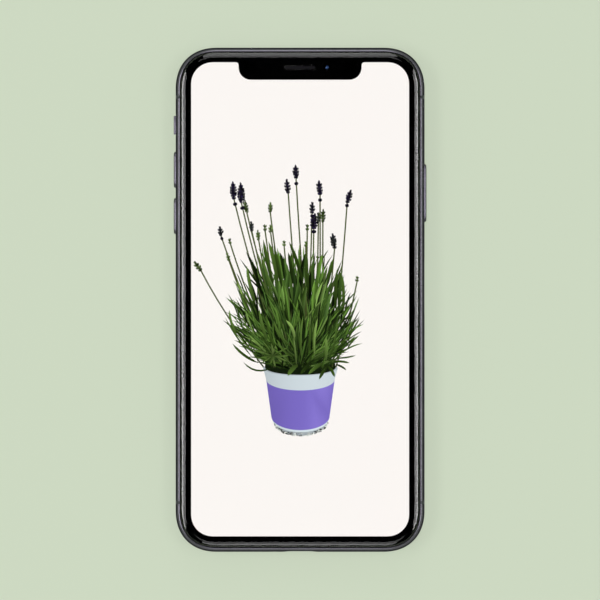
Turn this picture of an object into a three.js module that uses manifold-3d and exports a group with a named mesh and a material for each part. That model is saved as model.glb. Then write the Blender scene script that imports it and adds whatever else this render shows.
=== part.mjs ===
// A smartphone with a notched edge-to-edge screen, lying on its back, built from its real pieces.
// Millimetres. +X is the phone's right as its screen is read, +Y its top end, +Z out of the screen.
// The origin is under the middle of the phone, on the surface that the camera island rests on.
import * as THREE from "three";
import { mergeVertices } from "three/addons/utils/BufferGeometryUtils.js";
import Module from "manifold-3d";

const wasm = await Module();
wasm.setup();

// ---- Driving dimensions ----

const phoneWidth = 70.9;
const phoneLength = 143.6;
const bodyThickness = 7.7;
const islandHeight = 0.9; // how far the rear camera island stands out of the back
const cornerRadius = 12;
const cornerPower = 2.28; // 2 would be a circular corner
const cornerSteps = 8;

// Insets from the phone's outline
const rimInset = 1.1; // where the band's curved face ends, front and back
const pocketInset = 1.2; // the band's pockets for the two glasses
const gasketInset = 1.22;
const glassInset = 1.4;
const glassFlatInset = 2.9; // where the glass stops being flat
const cavityInset = 2.9; // the band's inner wall
const screenInset = 4.39; // the lit area

// Heights
const backFace = islandHeight;
const backGlassThickness = 0.8;
const backLedge = backFace + backGlassThickness;
const chassisTop = backLedge + 0.4;
const frontFace = backFace + bodyThickness;
const coverThickness = 0.7;
const coverUnder = frontFace - coverThickness;
const maskUnder = coverUnder - 0.1;
const panelUnder = maskUnder - 0.8;
const frontLedge = panelUnder - 0.3;
const midHeight = (backFace + frontFace) / 2;
const edgeDrop = 0.55; // how far the glass falls towards its edge
const bandTop = frontFace - edgeDrop;
const bandFoot = backFace + edgeDrop;

const wallGap = 0.1; // between a piece and a wall beside it

// Screen and notch
const screenWidth = phoneWidth - 2 * screenInset;
const screenTop = phoneLength / 2 - 4.17;
const screenFoot = -phoneLength / 2 + 4.43;
const screenCorner = 6.15;
const notchHalfWidth = 17.45;
const notchDepth = 4.99;
const notchCorner = 3.45;
const notchFillet = 0.85;
const sensorLine = phoneLength / 2 - 5.7; // the earpiece slot and the front camera lie on this line
const earpieceLength = 8.8;
const earpieceHeight = 1.05;
const frontCameraX = 7.75;

// Keys, as distances of their middles from the phone's top end
const keyHeight = 2.8;
const keyProud = 0.55; // how far a key stands out of the band
const keyTravel = 0.25;
const volumeLength = 10.2;
const volumeUpFromTop = 34.8;
const volumeDownFromTop = 47.95;
const sideKeyLength = 16.4;
const sideKeyFromTop = 41.4;
const muteFromTop = 22.1;
const muteLength = 5.3;
const muteThrow = 1.6;
const breakFromEnd = 14.1; // middle of each plastic break in the band
const breakWidth = 0.9;

// Rear camera island
const islandX = 23.4;
const islandY = 54.2;
const islandWidth = 11.4;
const islandLength = 23.2;
const lensOffset = 6.2;

// Bottom end
const portWidth = 8.6;
const portHeight = 2.9;
const portWall = 0.35;
const portDepth = 8.5;
const grilleRadius = 0.7;
const grillePitch = 2.3;
const grilleStart = 12;
const grilleCount = 6;
const endScrewX = 7.3;

// Card tray
const trayFromTop = 68;
const trayLength = 16.2;
const trayHeight = 2.4;
const trayInnerEnd = 18.4;
const plateHeight = 0.8;

// Inside: sheet and ribbon thicknesses, and the heights of what lies on the chassis plate
const ribbonThickness = 0.15;
const sheetThickness = 0.3;
const boardUnder = 2.6;
const boardTop = 3.3;
const dockTop = chassisTop + 0.4;

// An L-shaped battery: a tall cell on the left and a low one across the whole width below it
const battery = { left: -29.8, right: 4, far: 29.8, top: 36, knee: -12, foot: -38, low: 2.15, high: 6.3 };

// The logic board: a wide field beside the battery and a narrower one above it
const board = { left: 6, right: 30.2, foot: -10, shoulder: 40, neck: 15.5, top: 59, arm: -8, armFoot: 38 };
const boardScrews = {
  upper: [14.6, 20.8],
  lower: [28.4, -7.8],
};
const screwRadius = 0.6;
const screwHoleRadius = 0.75;

// ---- Finishes ----

const finishes = {
  darkSteel: { color: 0x4a484e, roughness: 0.25, metalness: 1 },
  bareSteel: { color: 0xa9abad, roughness: 0.4, metalness: 1 },
  clearGlass: { color: 0x0c0c0e, roughness: 0.05, metalness: 0 },
  blackGlass: { color: 0x1b1b1e, roughness: 0.1, metalness: 0 },
  blackPlastic: { color: 0x17171a, roughness: 0.6, metalness: 0 },
  breakPlastic: { color: 0x2c2b33, roughness: 0.5, metalness: 0 },
  litScreen: { color: 0xfdf8f4, roughness: 0.4, metalness: 0 },
  rubber: { color: 0x0c0c0c, roughness: 0.8, metalness: 0 },
  copper: { color: 0xb36a3c, roughness: 0.45, metalness: 1 },
  pouch: { color: 0x2a2b2d, roughness: 0.5, metalness: 0.3 },
  circuitBoard: { color: 0x123a2a, roughness: 0.6, metalness: 0 },
  chip: { color: 0x18181a, roughness: 0.45, metalness: 0 },
  flex: { color: 0x2b1a10, roughness: 0.5, metalness: 0 },
  lens: { color: 0x101726, roughness: 0.03, metalness: 0 },
  lamp: { color: 0xe8d9a0, roughness: 0.3, metalness: 0 },
};

// ---- Shapes ----

// The phone's outline moved inwards: four superellipse corners, each point pushed in along its normal.
function bodyOutline(inset) {
  const points = [];
  const cornerX = phoneWidth / 2 - cornerRadius;
  const cornerY = phoneLength / 2 - cornerRadius;
  for (let corner = 0; corner < 4; corner++) {
    for (let i = 0; i <= cornerSteps; i++) {
      const t = (i / cornerSteps) * (Math.PI / 2);
      const [c, s] = [Math.max(Math.cos(t), 0), Math.max(Math.sin(t), 0)];
      const power = 2 / cornerPower;
      const normal = new THREE.Vector2(c ** (2 - power), s ** (2 - power)).normalize();
      const point = new THREE.Vector2(c ** power, s ** power)
        .multiplyScalar(cornerRadius)
        .addScaledVector(normal, -inset);
      point.rotateAround(new THREE.Vector2(), (corner * Math.PI) / 2);
      const sideX = corner === 0 || corner === 3 ? 1 : -1;
      const sideY = corner < 2 ? 1 : -1;
      points.push(point.add(new THREE.Vector2(sideX * cornerX, sideY * cornerY)));
    }
  }
  return points;
}

const outlineOf = (corners) => new THREE.Shape(corners.map(([x, y]) => new THREE.Vector2(x, y)));

// A rectangle with circular corners.
function roundedRectangle(centreX, centreY, width, length, radius) {
  const [x, y] = [width / 2 - radius, length / 2 - radius];
  const shape = new THREE.Shape();
  shape.absarc(centreX + x, centreY + y, radius, 0, Math.PI / 2);
  shape.absarc(centreX - x, centreY + y, radius, Math.PI / 2, Math.PI);
  shape.absarc(centreX - x, centreY - y, radius, Math.PI, (3 * Math.PI) / 2);
  shape.absarc(centreX + x, centreY - y, radius, (3 * Math.PI) / 2, 2 * Math.PI);
  return shape;
}

// The lit area, grown by some margin, with the notch cut into its top edge.
function screenShape(margin) {
  const half = screenWidth / 2 + margin;
  const [top, foot] = [screenTop + margin, screenFoot - margin];
  const radius = screenCorner + margin;
  const notch = notchHalfWidth - margin;
  const notchFoot = screenTop - notchDepth + margin;
  const bend = notchCorner - margin;
  const shape = new THREE.Shape();
  shape.absarc(half - radius, top - radius, radius, 0, Math.PI / 2);
  shape.absarc(notch + notchFillet, top - notchFillet, notchFillet, Math.PI / 2, Math.PI);
  shape.absarc(notch - bend, notchFoot + bend, bend, 0, -Math.PI / 2, true);
  shape.absarc(bend - notch, notchFoot + bend, bend, -Math.PI / 2, -Math.PI, true);
  shape.absarc(-notch - notchFillet, top - notchFillet, notchFillet, 0, Math.PI / 2);
  shape.absarc(radius - half, top - radius, radius, Math.PI / 2, Math.PI);
  shape.absarc(radius - half, foot + radius, radius, Math.PI, (3 * Math.PI) / 2);
  shape.absarc(half - radius, foot + radius, radius, (3 * Math.PI) / 2, 2 * Math.PI);
  return shape;
}

// An upright block of a flat outline. Its arcs are made of twice the given number of facets.
function prism(shape, low, high, curveSegments = 3) {
  const settings = { depth: high - low, bevelEnabled: false, curveSegments };
  return solidFrom(new THREE.ExtrudeGeometry(shape, settings).translate(0, 0, low));
}

const bodyPrism = (inset, low, high) => prism(new THREE.Shape(bodyOutline(inset)), low, high);

function box(x0, x1, y0, y1, z0, z1) {
  const geometry = new THREE.BoxGeometry(x1 - x0, y1 - y0, z1 - z0);
  return solidFrom(geometry.translate((x0 + x1) / 2, (y0 + y1) / 2, (z0 + z1) / 2));
}

// The same, placed by its middle and its sizes along X and Y.
function block(x, y, width, length, low, high) {
  return box(x - width / 2, x + width / 2, y - length / 2, y + length / 2, low, high);
}

// A round bar standing along Z.
function upright(x, y, radius, low, high, sides = 16) {
  const geometry = new THREE.CylinderGeometry(radius, radius, high - low, sides).rotateX(Math.PI / 2);
  return solidFrom(geometry.translate(x, y, (low + high) / 2));
}

// A slab that runs through the phone's side wall, from x0 to x1, with round ends unless told otherwise.
function keySlab(y, z, length, height, x0, x1, radius = height / 2 - 0.001) {
  const shape = roundedRectangle(y, z, length, height, radius);
  const settings = { depth: x1 - x0, bevelEnabled: false, curveSegments: 2 };
  const geometry = new THREE.ExtrudeGeometry(shape, settings);
  const basis = new THREE.Matrix4().makeBasis(
    new THREE.Vector3(0, 1, 0),
    new THREE.Vector3(0, 0, 1),
    new THREE.Vector3(1, 0, 0),
  );
  return solidFrom(geometry.applyMatrix4(basis).translate(x0, 0, 0));
}

// The same along Y, for the port and the round holes of the bottom end.
function endSlab(x, z, width, height, y0, y1, curveSegments = 2) {
  const shape = roundedRectangle(x, z, width, height, height / 2 - 0.001);
  const settings = { depth: y1 - y0, bevelEnabled: false, curveSegments };
  const geometry = new THREE.ExtrudeGeometry(shape, settings);
  const basis = new THREE.Matrix4().makeBasis(
    new THREE.Vector3(1, 0, 0),
    new THREE.Vector3(0, 0, 1),
    new THREE.Vector3(0, -1, 0),
  );
  return solidFrom(geometry.applyMatrix4(basis).translate(0, y1, 0));
}

// A turned piece standing on x, y: its profile is a list of [radius, height].
function turned(x, y, profile, sides = 16) {
  const points = profile.map(([r, z]) => new THREE.Vector2(r, z));
  const geometry = new THREE.LatheGeometry(points, sides).rotateX(Math.PI / 2);
  return solidFrom(geometry.translate(x, y, 0));
}

const pill = (width, length) => roundedRectangle(islandX, islandY, width, length, width / 2 - 0.001);

// ---- Solids and meshes ----

function solidFrom(geometry) {
  for (const name of Object.keys(geometry.attributes)) {
    if (name !== "position") geometry.deleteAttribute(name);
  }
  const merged = mergeVertices(geometry, 1e-4);
  const vertProperties = merged.attributes.position.array;
  const triVerts = new Uint32Array(merged.index.array);
  return new wasm.Manifold(new wasm.Mesh({ numProp: 3, vertProperties, triVerts }));
}

function geometryFrom(solid) {
  const { vertProperties, triVerts } = solid.getMesh();
  const geometry = new THREE.BufferGeometry();
  geometry.setAttribute("position", new THREE.BufferAttribute(vertProperties, 3));
  geometry.setIndex(new THREE.BufferAttribute(triVerts, 1));
  const faceted = geometry.toNonIndexed();
  faceted.computeVertexNormals();
  return faceted;
}

const joined = (first, ...rest) => rest.reduce((solid, next) => solid.add(next), first);
const cut = (first, ...rest) => rest.reduce((solid, next) => solid.subtract(next), first);

const phone = new THREE.Group();
phone.name = "smartphone";

function assembly(name, ...meshes) {
  const group = new THREE.Group();
  group.name = name;
  group.add(...meshes);
  phone.add(group);
}

function piece(name, solid, finish) {
  const mesh = new THREE.Mesh(geometryFrom(solid), new THREE.MeshStandardMaterial(finish));
  mesh.name = name;
  return mesh;
}

const fromTop = (distance) => phoneLength / 2 - distance;
const sideFace = phoneWidth / 2;
const innerSide = sideFace - cavityInset;
const endFace = phoneLength / 2;
const innerEnd = endFace - cavityInset;

// ---- Band: four steel lengths and the four plastic breaks between them ----

// The band's outside as a solid block, whose face curves over towards front and back.
function bandBlock(shrink = 0) {
  const flat = 0.4;
  const geometry = new THREE.ExtrudeGeometry(new THREE.Shape(bodyOutline(rimInset + shrink)), {
    depth: flat,
    bevelThickness: (bandTop - bandFoot - flat) / 2,
    bevelSize: rimInset,
    bevelSegments: 4,
  });
  return solidFrom(geometry.translate(0, 0, midHeight - flat / 2));
}

// The whole ring: that block less the pockets of the two glasses and the cavity.
function bandRing() {
  return cut(
    bandBlock(),
    bodyPrism(pocketInset, frontLedge, frontFace),
    bodyPrism(pocketInset, 0, backLedge),
    bodyPrism(cavityInset, backLedge - 0.5, frontLedge + 0.5),
  );
}

// What is cut through the bottom end: the port, the two stepped screw holes and the sound holes.
function endHoles() {
  const through = (x, width, height, facets) =>
    endSlab(x, midHeight, width, height, -endFace - 1, 1 - innerEnd, facets);
  const holes = [through(0, portWidth + 2 * (portWall + wallGap), portHeight + 2 * (portWall + wallGap))];
  for (const side of [-1, 1]) {
    const screwX = side * endScrewX;
    holes.push(through(screwX, 1.5, 1.5), endSlab(screwX, midHeight, 2.1, 2.1, -endFace - 1, -endFace + 1));
    for (let i = 0; i < grilleCount; i++) {
      holes.push(through(side * (grilleStart + i * grillePitch), 2 * grilleRadius, 2 * grilleRadius, 1));
    }
  }
  return holes;
}

function bandPieces() {
  const ring = bandRing();
  const beyond = sideFace + 2;
  const breakTop = fromTop(breakFromEnd) + breakWidth / 2;
  const breakFoot = breakTop - breakWidth;
  const length = (x0, x1, y0, y1) => ring.intersect(box(x0, x1, y0, y1, 0, frontFace));
  const left = [-beyond, 0];
  const right = [0, beyond];
  const leftWall = [-beyond, 1 - innerSide];
  const rightWall = [innerSide - 1, beyond];
  const keyHole = (distance, keyLength, height, wall) =>
    keySlab(fromTop(distance), midHeight, keyLength + 2 * wallGap, height + 2 * wallGap, ...wall);
  const leftHoles = [
    keySlab(fromTop(muteFromTop), midHeight, muteLength + 0.4, 3, ...leftWall, 0.4),
    keyHole(volumeUpFromTop, volumeLength, keyHeight, leftWall),
    keyHole(volumeDownFromTop, volumeLength, keyHeight, leftWall),
  ];
  const rightHoles = [
    keyHole(sideKeyFromTop, sideKeyLength, keyHeight, rightWall),
    keyHole(trayFromTop, trayLength, trayHeight, rightWall),
  ];
  assembly(
    "band",
    piece("band_left", cut(length(...left, -breakFoot, breakFoot), ...leftHoles), finishes.darkSteel),
    piece("band_right", cut(length(...right, -breakFoot, breakFoot), ...rightHoles), finishes.darkSteel),
    piece("band_top", length(-beyond, beyond, breakTop, endFace + 2), finishes.darkSteel),
    piece(
      "band_bottom",
      cut(length(-beyond, beyond, -endFace - 2, -breakTop), ...endHoles()),
      finishes.darkSteel,
    ),
    piece("antenna_break_top_left", length(...left, breakFoot, breakTop), finishes.breakPlastic),
    piece("antenna_break_top_right", length(...right, breakFoot, breakTop), finishes.breakPlastic),
    piece("antenna_break_bottom_left", length(...left, -breakTop, -breakFoot), finishes.breakPlastic),
    piece("antenna_break_bottom_right", length(...right, -breakTop, -breakFoot), finishes.breakPlastic),
  );
}

// ---- Glasses ----

// A slab whose edge falls away in a quarter ellipse towards one face.
function edgedGlass(face, inner) {
  const outward = Math.sign(face - inner);
  const straight = 0.6;
  const geometry = new THREE.ExtrudeGeometry(new THREE.Shape(bodyOutline(glassFlatInset)), {
    depth: straight,
    bevelThickness: edgeDrop,
    bevelSize: glassFlatInset - glassInset,
    bevelSegments: 3,
  });
  const low = outward > 0 ? face - edgeDrop - straight : face + edgeDrop;
  const whole = solidFrom(geometry.translate(0, 0, low));
  return outward > 0 ? whole.trimByPlane([0, 0, 1], inner) : whole.trimByPlane([0, 0, -1], -inner);
}

function earpieceSlot(grow, low, high) {
  const height = earpieceHeight + 2 * grow;
  return prism(
    roundedRectangle(0, sensorLine, earpieceLength + 2 * grow, height, height / 2 - 0.001),
    low,
    high,
  );
}

function displayPieces() {
  const cover = cut(edgedGlass(frontFace, coverUnder), earpieceSlot(0.05, coverUnder - 1, frontFace + 1));
  const mask = cut(
    bodyPrism(glassInset + wallGap, maskUnder, coverUnder),
    prism(screenShape(0), maskUnder - 1, coverUnder + 1),
    earpieceSlot(-0.2, maskUnder - 1, coverUnder + 1),
    upright(frontCameraX, sensorLine, 1.1, maskUnder - 1, coverUnder + 1),
  );
  const screenLength = screenTop - screenFoot;
  const screenMiddle = (screenTop + screenFoot) / 2;
  const around = (grow) =>
    roundedRectangle(0, screenMiddle, screenWidth + 2 * grow, screenLength + 2 * grow, screenCorner + grow);
  const carrier = cut(
    bodyPrism(glassInset + 0.05, frontLedge, maskUnder),
    prism(around(0.3), frontLedge - 1, maskUnder + 1),
  );
  const bayFoot = screenTop - notchDepth - 0.6;
  const shield = cut(
    prism(around(0.2), frontLedge, panelUnder),
    box(-notchHalfWidth - 1, notchHalfWidth + 1, bayFoot, endFace, frontLedge - 1, panelUnder + 1),
  );
  const gasket = cut(
    bodyPrism(gasketInset, frontLedge, bandTop - 0.05),
    bodyPrism(gasketInset + 0.14, 0, frontFace),
  );
  const ribbon = (y0, y1, z0, z1) => box(7, 12.5, y0, y1, z0, z1);
  const fold = 14;
  const plugTop = 4.35;
  assembly(
    "display",
    piece("cover_glass", cover, finishes.clearGlass),
    piece("border_mask", mask, finishes.blackPlastic),
    piece("display_panel", prism(screenShape(0.2), panelUnder, maskUnder), finishes.litScreen),
    piece("display_frame", carrier, finishes.blackPlastic),
    piece("display_shield", shield, finishes.bareSteel),
    piece("display_gasket", gasket, finishes.rubber),
    piece("earpiece_mesh", earpieceSlot(0, coverUnder, coverUnder + 0.45), finishes.darkSteel),
    piece(
      "display_flex",
      joined(
        ribbon(fold, fold + 8, frontLedge - ribbonThickness, frontLedge),
        ribbon(fold, fold + ribbonThickness, plugTop - ribbonThickness, frontLedge),
        ribbon(fold, fold + 4, plugTop - ribbonThickness, plugTop),
      ),
      finishes.flex,
    ),
  );
}

// ---- Sensors behind the notch ----

function sensorPieces() {
  const floor = 3.4; // top of the bracket that they all stand on
  const roof = frontLedge - 0.1;
  const reach = maskUnder - 0.05;
  const bay = 4.6;
  const bracketX = 17.6;
  const trough = (x, width, low, high) => block(x, sensorLine - 0.5, width, bay + 1, low, high);
  const bracket = joined(
    trough(0, 2 * bracketX, floor - 0.4, floor),
    trough(-bracketX, 0.5, chassisTop, floor),
    trough(bracketX, 0.5, chassisTop, floor),
  );
  const housing = (x, width) => block(x, sensorLine, width, bay, floor, roof);
  const eye = (x, width, radius) =>
    joined(housing(x, width), upright(x, sensorLine, radius, roof - 0.2, reach));
  const speaker = joined(housing(-1, 11.2), block(-0.2, sensorLine, 9.6, 2, roof - 0.2, reach));
  assembly(
    "sensors",
    piece("sensor_bracket", bracket, finishes.bareSteel),
    piece("earpiece_speaker", speaker, finishes.blackPlastic),
    piece("front_camera", eye(frontCameraX, 4.6, 1.3), finishes.lens),
    piece("infrared_camera", eye(-14.3, 5.4, 1.7), finishes.lens),
    piece("dot_projector", eye(14.2, 5.4, 1.5), finishes.chip),
  );
}

// ---- Back: the glass, the chassis plate and the charging coil between plate and glass ----

function backPieces() {
  const coil = { x: 0, y: 2, outer: 20, inner: 10, opening: 20.6 };
  const glass = cut(
    edgedGlass(backFace, backLedge),
    prism(pill(islandWidth + 0.2, islandLength + 0.2), 0, chassisTop, 4),
  );
  const spots = Object.values(boardScrews);
  const bosses = spots.map(([x, y]) => upright(x, y, 1.3, chassisTop - 0.1, boardUnder, 12));
  const bossHoles = spots.map(([x, y]) => upright(x, y, screwHoleRadius, chassisTop, boardUnder + 1, 10));
  const plate = cut(
    joined(bodyPrism(cavityInset + wallGap, backLedge, chassisTop), ...bosses),
    prism(pill(islandWidth - 1.2, islandLength - 1.2), 0, chassisTop + 1),
    upright(coil.x, coil.y, coil.opening, 0, chassisTop + 1, 32),
    ...bossHoles,
  );
  const winding = turned(
    coil.x,
    coil.y,
    [
      [coil.inner, backLedge],
      [coil.outer, backLedge],
      [coil.outer, chassisTop],
      [coil.inner, chassisTop],
      [coil.inner, backLedge],
    ],
    32,
  );
  assembly(
    "back",
    piece("back_glass", glass, finishes.blackGlass),
    piece("chassis_plate", plate, finishes.bareSteel),
    piece("charging_coil", winding, finishes.copper),
  );
}

// ---- Rear camera island ----

function cameraPieces() {
  const coverFoot = 0.05;
  const coverTop = 0.75;
  const windowTop = 0.55;
  const trim = cut(
    prism(pill(islandWidth, islandLength), 0, backLedge, 4),
    prism(pill(islandWidth - 1.4, islandLength - 1.4), -1, coverTop, 4),
    prism(pill(islandWidth - 2.4, islandLength - 2.4), -1, backLedge + 1, 4),
  );
  const lensY = [islandY + lensOffset, islandY - lensOffset];
  const ringOuter = 3.6;
  const windowRadius = 2.65;
  const flashRadius = 1.55;
  const cover = cut(
    prism(pill(islandWidth - 1.6, islandLength - 1.6), coverFoot, coverTop, 4),
    ...lensY.map((y) => upright(islandX, y, ringOuter + 0.05, -1, 2, 20)),
    upright(islandX, islandY, flashRadius + 0.05, -1, 2),
    upright(islandX + 2.9, islandY, 0.4, -1, 2, 8),
  );
  const ring = (y) =>
    turned(
      islandX,
      y,
      [
        [windowRadius + 0.05, 0.02],
        [ringOuter, 0.02],
        [ringOuter, coverTop],
        [windowRadius - 0.35, coverTop],
        [windowRadius - 0.35, windowTop],
        [windowRadius + 0.05, windowTop],
        [windowRadius + 0.05, 0.02],
      ],
      20,
    );
  const window = (y) => upright(islandX, y, windowRadius, 0.12, windowTop, 20);
  const module = (y) =>
    joined(
      block(islandX, y, 10.6, 10.6, chassisTop, frontLedge - 0.3),
      upright(islandX, y, 3.2, coverTop + 0.05, chassisTop + 0.2),
    );
  assembly(
    "rear_cameras",
    piece("camera_trim", trim, finishes.darkSteel),
    piece("camera_cover", cover, finishes.blackGlass),
    piece("lens_ring_wide", ring(lensY[0]), finishes.darkSteel),
    piece("lens_ring_tele", ring(lensY[1]), finishes.darkSteel),
    piece("lens_window_wide", window(lensY[0]), finishes.lens),
    piece("lens_window_tele", window(lensY[1]), finishes.lens),
    piece("flash_module", upright(islandX, islandY, flashRadius, coverFoot, 2), finishes.lamp),
    piece("rear_camera_wide", module(lensY[0] + 0.05), finishes.chip),
    piece("rear_camera_tele", module(lensY[1] - 0.05), finishes.chip),
  );
}

// ---- Battery ----

function batteryPieces() {
  const { left, right, far, top, knee, foot, low, high } = battery;
  const shape = outlineOf([
    [left, foot],
    [far, foot],
    [far, knee],
    [right, knee],
    [right, top],
    [left, top],
  ]);
  const tab = { low: boardTop + 0.05, high: 5.05, fold: 7.2, end: 11.8 };
  const tabStrip = (x0, x1, z0, z1) => box(x0, x1, 9.3, 11.7, z0, z1);
  const tabRibbon = joined(
    tabStrip(right + 0.05, tab.fold, tab.high - ribbonThickness, tab.high),
    tabStrip(tab.fold - ribbonThickness, tab.fold, tab.low, tab.high),
    tabStrip(tab.fold - ribbonThickness, tab.end, tab.low, tab.low + ribbonThickness),
  );
  assembly(
    "power",
    piece("battery", prism(shape, low, high), finishes.pouch),
    piece("battery_flex", tabRibbon, finishes.flex),
  );
}

// ---- Logic board ----

function boardPieces() {
  const { left, right, foot, shoulder, neck, top, arm, armFoot } = board;
  const outline = outlineOf([
    [left, foot],
    [right, foot],
    [right, shoulder],
    [neck, shoulder],
    [neck, top],
    [arm, top],
    [arm, armFoot],
    [left, armFoot],
  ]);
  const holes = Object.values(boardScrews).map(([x, y]) =>
    upright(x, y, screwHoleRadius, boardUnder - 1, boardTop + 1, 10),
  );
  const displaySocket = block(9.75, 16.1, 4.9, 3, boardTop - 0.1, 4.15);
  const screw = ([x, y]) => {
    const [tip, seat, head] = [chassisTop + 0.05, boardTop + 0.02, boardTop + 0.5];
    const profile = [
      [0, tip],
      [screwRadius, tip],
      [screwRadius, seat],
      [screwRadius + 0.5, seat],
      [screwRadius + 0.5, head],
      [0, head],
    ];
    const slot = (width, length) => block(x, y, width, length, head - 0.25, head + 1);
    return cut(turned(x, y, profile, 12), slot(1.4, 0.3), slot(0.3, 1.4));
  };
  const can = cut(
    block(3.75, 49.75, 20.5, 15.5, boardTop, 5.4),
    block(3.75, 49.75, 20.5 - 2 * sheetThickness, 15.5 - 2 * sheetThickness, boardTop - 1, 5.2),
  );
  assembly(
    "logic",
    piece(
      "logic_board",
      cut(joined(prism(outline, boardUnder, boardTop), displaySocket), ...holes),
      finishes.circuitBoard,
    ),
    piece("processor_package", block(14, 30, 12, 12, boardTop, 4.5), finishes.chip),
    piece("memory_package", block(25.25, 31, 7.5, 10, boardTop, 4.4), finishes.chip),
    piece("modem_shield", can, finishes.bareSteel),
    piece("board_screw_upper", screw(boardScrews.upper), finishes.bareSteel),
    piece("board_screw_lower", screw(boardScrews.lower), finishes.bareSteel),
  );
}

// ---- Card tray and its reader ----

function trayPieces() {
  const y = fromTop(trayFromTop);
  const strip = (x0, x1, length, low, high) => box(x0, x1, y - length / 2, y + length / 2, low, high);
  const low = midHeight - plateHeight / 2;
  const high = midHeight + plateHeight / 2;
  const face = keySlab(y, midHeight, trayLength, trayHeight, innerSide + 0.1, sideFace + 1);
  const frame = cut(
    strip(trayInnerEnd, innerSide + 0.6, 14, low, high),
    strip(trayInnerEnd + 1.6, trayInnerEnd + 10.6, 12.4, low + 0.25, high + 1),
  );
  const eject = keySlab(y - 6.4, midHeight, 0.9, 0.9, innerSide - 1, sideFace + 1);
  const cage = { x0: trayInnerEnd - 0.6, x1: 30.1, length: 15, high: midHeight + 1.2 };
  const reader = cut(
    strip(cage.x0, cage.x1, cage.length, boardTop, cage.high),
    strip(
      cage.x0 + sheetThickness,
      cage.x1 + 1,
      cage.length - 2 * sheetThickness,
      boardTop + sheetThickness,
      cage.high - sheetThickness,
    ),
    strip(cage.x0 + 3, cage.x1 - 3, 9, cage.high - 1, cage.high + 1),
  );
  assembly(
    "card",
    piece("sim_tray", cut(joined(face.intersect(bandBlock(0.02)), frame), eject), finishes.darkSteel),
    piece("sim_reader", reader, finishes.bareSteel),
  );
}

// ---- Keys, the mute lever and the plates that carry their switches ----

// Two distances from the middle of the phone as an X range on its left (-1) or right (1) side.
const along = (side, a, b) => [Math.min(side * a, side * b), Math.max(side * a, side * b)];
const nubFace = innerSide - 0.8;
const switchFace = nubFace - keyTravel - 0.05;
const plateFace = switchFace - 0.25;

// A key: its cap through the band, a wider flange behind the wall and a nub that meets the switch.
function pressKey(side, y, length) {
  return joined(
    keySlab(y, midHeight, length, keyHeight, ...along(side, innerSide - 0.3, sideFace + keyProud)),
    keySlab(y, midHeight, length + 1.2, keyHeight + 1, ...along(side, innerSide - 0.55, innerSide - 0.05)),
    keySlab(y, midHeight, 2, 2, ...along(side, nubFace, innerSide - 0.5)),
  );
}

// A sheet behind the keys, from y0 to y1, with its ends bent out to the band and a switch for each key.
function switchPlate(side, y0, y1, switches) {
  const sheet = (a, b, low, high) => box(...along(side, a, b), low, high, midHeight - 1.6, midHeight + 1.6);
  return joined(
    sheet(plateFace - 0.4, plateFace, y0, y1),
    sheet(plateFace - 0.4, innerSide - 0.05, y0, y0 + 0.5),
    sheet(plateFace - 0.4, innerSide - 0.05, y1 - 0.5, y1),
    ...switches.map((y) => keySlab(y, midHeight, 2.6, 2.6, ...along(side, plateFace - 0.1, switchFace))),
  );
}

// The lever at the front end of its slot, with a wider slider behind the wall.
function muteLever(y) {
  const z = midHeight + muteThrow / 2;
  const bar = (x0, x1, length, height) =>
    box(x0, x1, y - length / 2, y + length / 2, z - height / 2, z + height / 2);
  return joined(
    bar(-sideFace - keyProud, 0.4 - innerSide, muteLength, 1.1),
    bar(0.05 - innerSide, 0.7 - innerSide, 6.8, 1.8),
  );
}

function controlPieces() {
  const volumeY = [fromTop(volumeUpFromTop), fromTop(volumeDownFromTop)];
  const sideY = fromTop(sideKeyFromTop);
  const muteY = fromTop(muteFromTop);
  const muteSwitch = block(plateFace * -1, muteY, 1.2, 4, midHeight - 1.6, midHeight + 1.6);
  const leftPlate = joined(switchPlate(-1, volumeY[1] - 7, muteY + 4.2, volumeY), muteSwitch);
  assembly(
    "controls",
    piece("volume_up_button", pressKey(-1, volumeY[0], volumeLength), finishes.darkSteel),
    piece("volume_down_button", pressKey(-1, volumeY[1], volumeLength), finishes.darkSteel),
    piece("side_button", pressKey(1, sideY, sideKeyLength), finishes.darkSteel),
    piece("mute_lever", muteLever(muteY), finishes.darkSteel),
    piece("left_switch_plate", leftPlate, finishes.bareSteel),
    piece("side_switch_plate", switchPlate(1, sideY - 10, sideY + 10, [sideY]), finishes.bareSteel),
  );
}

// ---- Bottom end: port, speaker, vibration motor, microphone and the two end screws ----

// A ribbon from the dock board, along the gap beside the motor and over the battery, to the logic board.
function dockFlex() {
  const [left, right] = [4.4, 7.8];
  const [rise, fall] = [battery.foot - 0.3, battery.knee + 0.5];
  const crest = battery.high + 0.05;
  const strip = (y0, y1, low, high) => box(left, right, y0, y1, low, high);
  return joined(
    box(left, 5.8, -57, -53.6, dockTop, dockTop + ribbonThickness),
    strip(-53.8, rise, dockTop, dockTop + ribbonThickness),
    strip(rise - ribbonThickness, rise, dockTop, crest + ribbonThickness),
    strip(rise - ribbonThickness, fall + ribbonThickness, crest, crest + ribbonThickness),
    strip(fall, fall + ribbonThickness, boardTop, crest + ribbonThickness),
    strip(fall, board.foot + 2, boardTop, boardTop + ribbonThickness),
  );
}

// The port's oval shell with the contact tongue inside it, on two legs.
function portShell() {
  const mouth = 0.6 - endFace;
  const back = mouth + portDepth;
  return joined(
    cut(
      endSlab(0, midHeight, portWidth + 2 * portWall, portHeight + 2 * portWall, mouth, back),
      endSlab(0, midHeight, portWidth, portHeight, mouth - 1, back - 0.8),
    ),
    box(-3.3, 3.3, mouth + 0.6, back - 0.5, midHeight - 0.35, midHeight + 0.35),
    ...[-2.9, 2.9].map((x) => block(x, back - 2, 1, 2, dockTop, midHeight - portHeight / 2)),
  );
}

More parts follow.
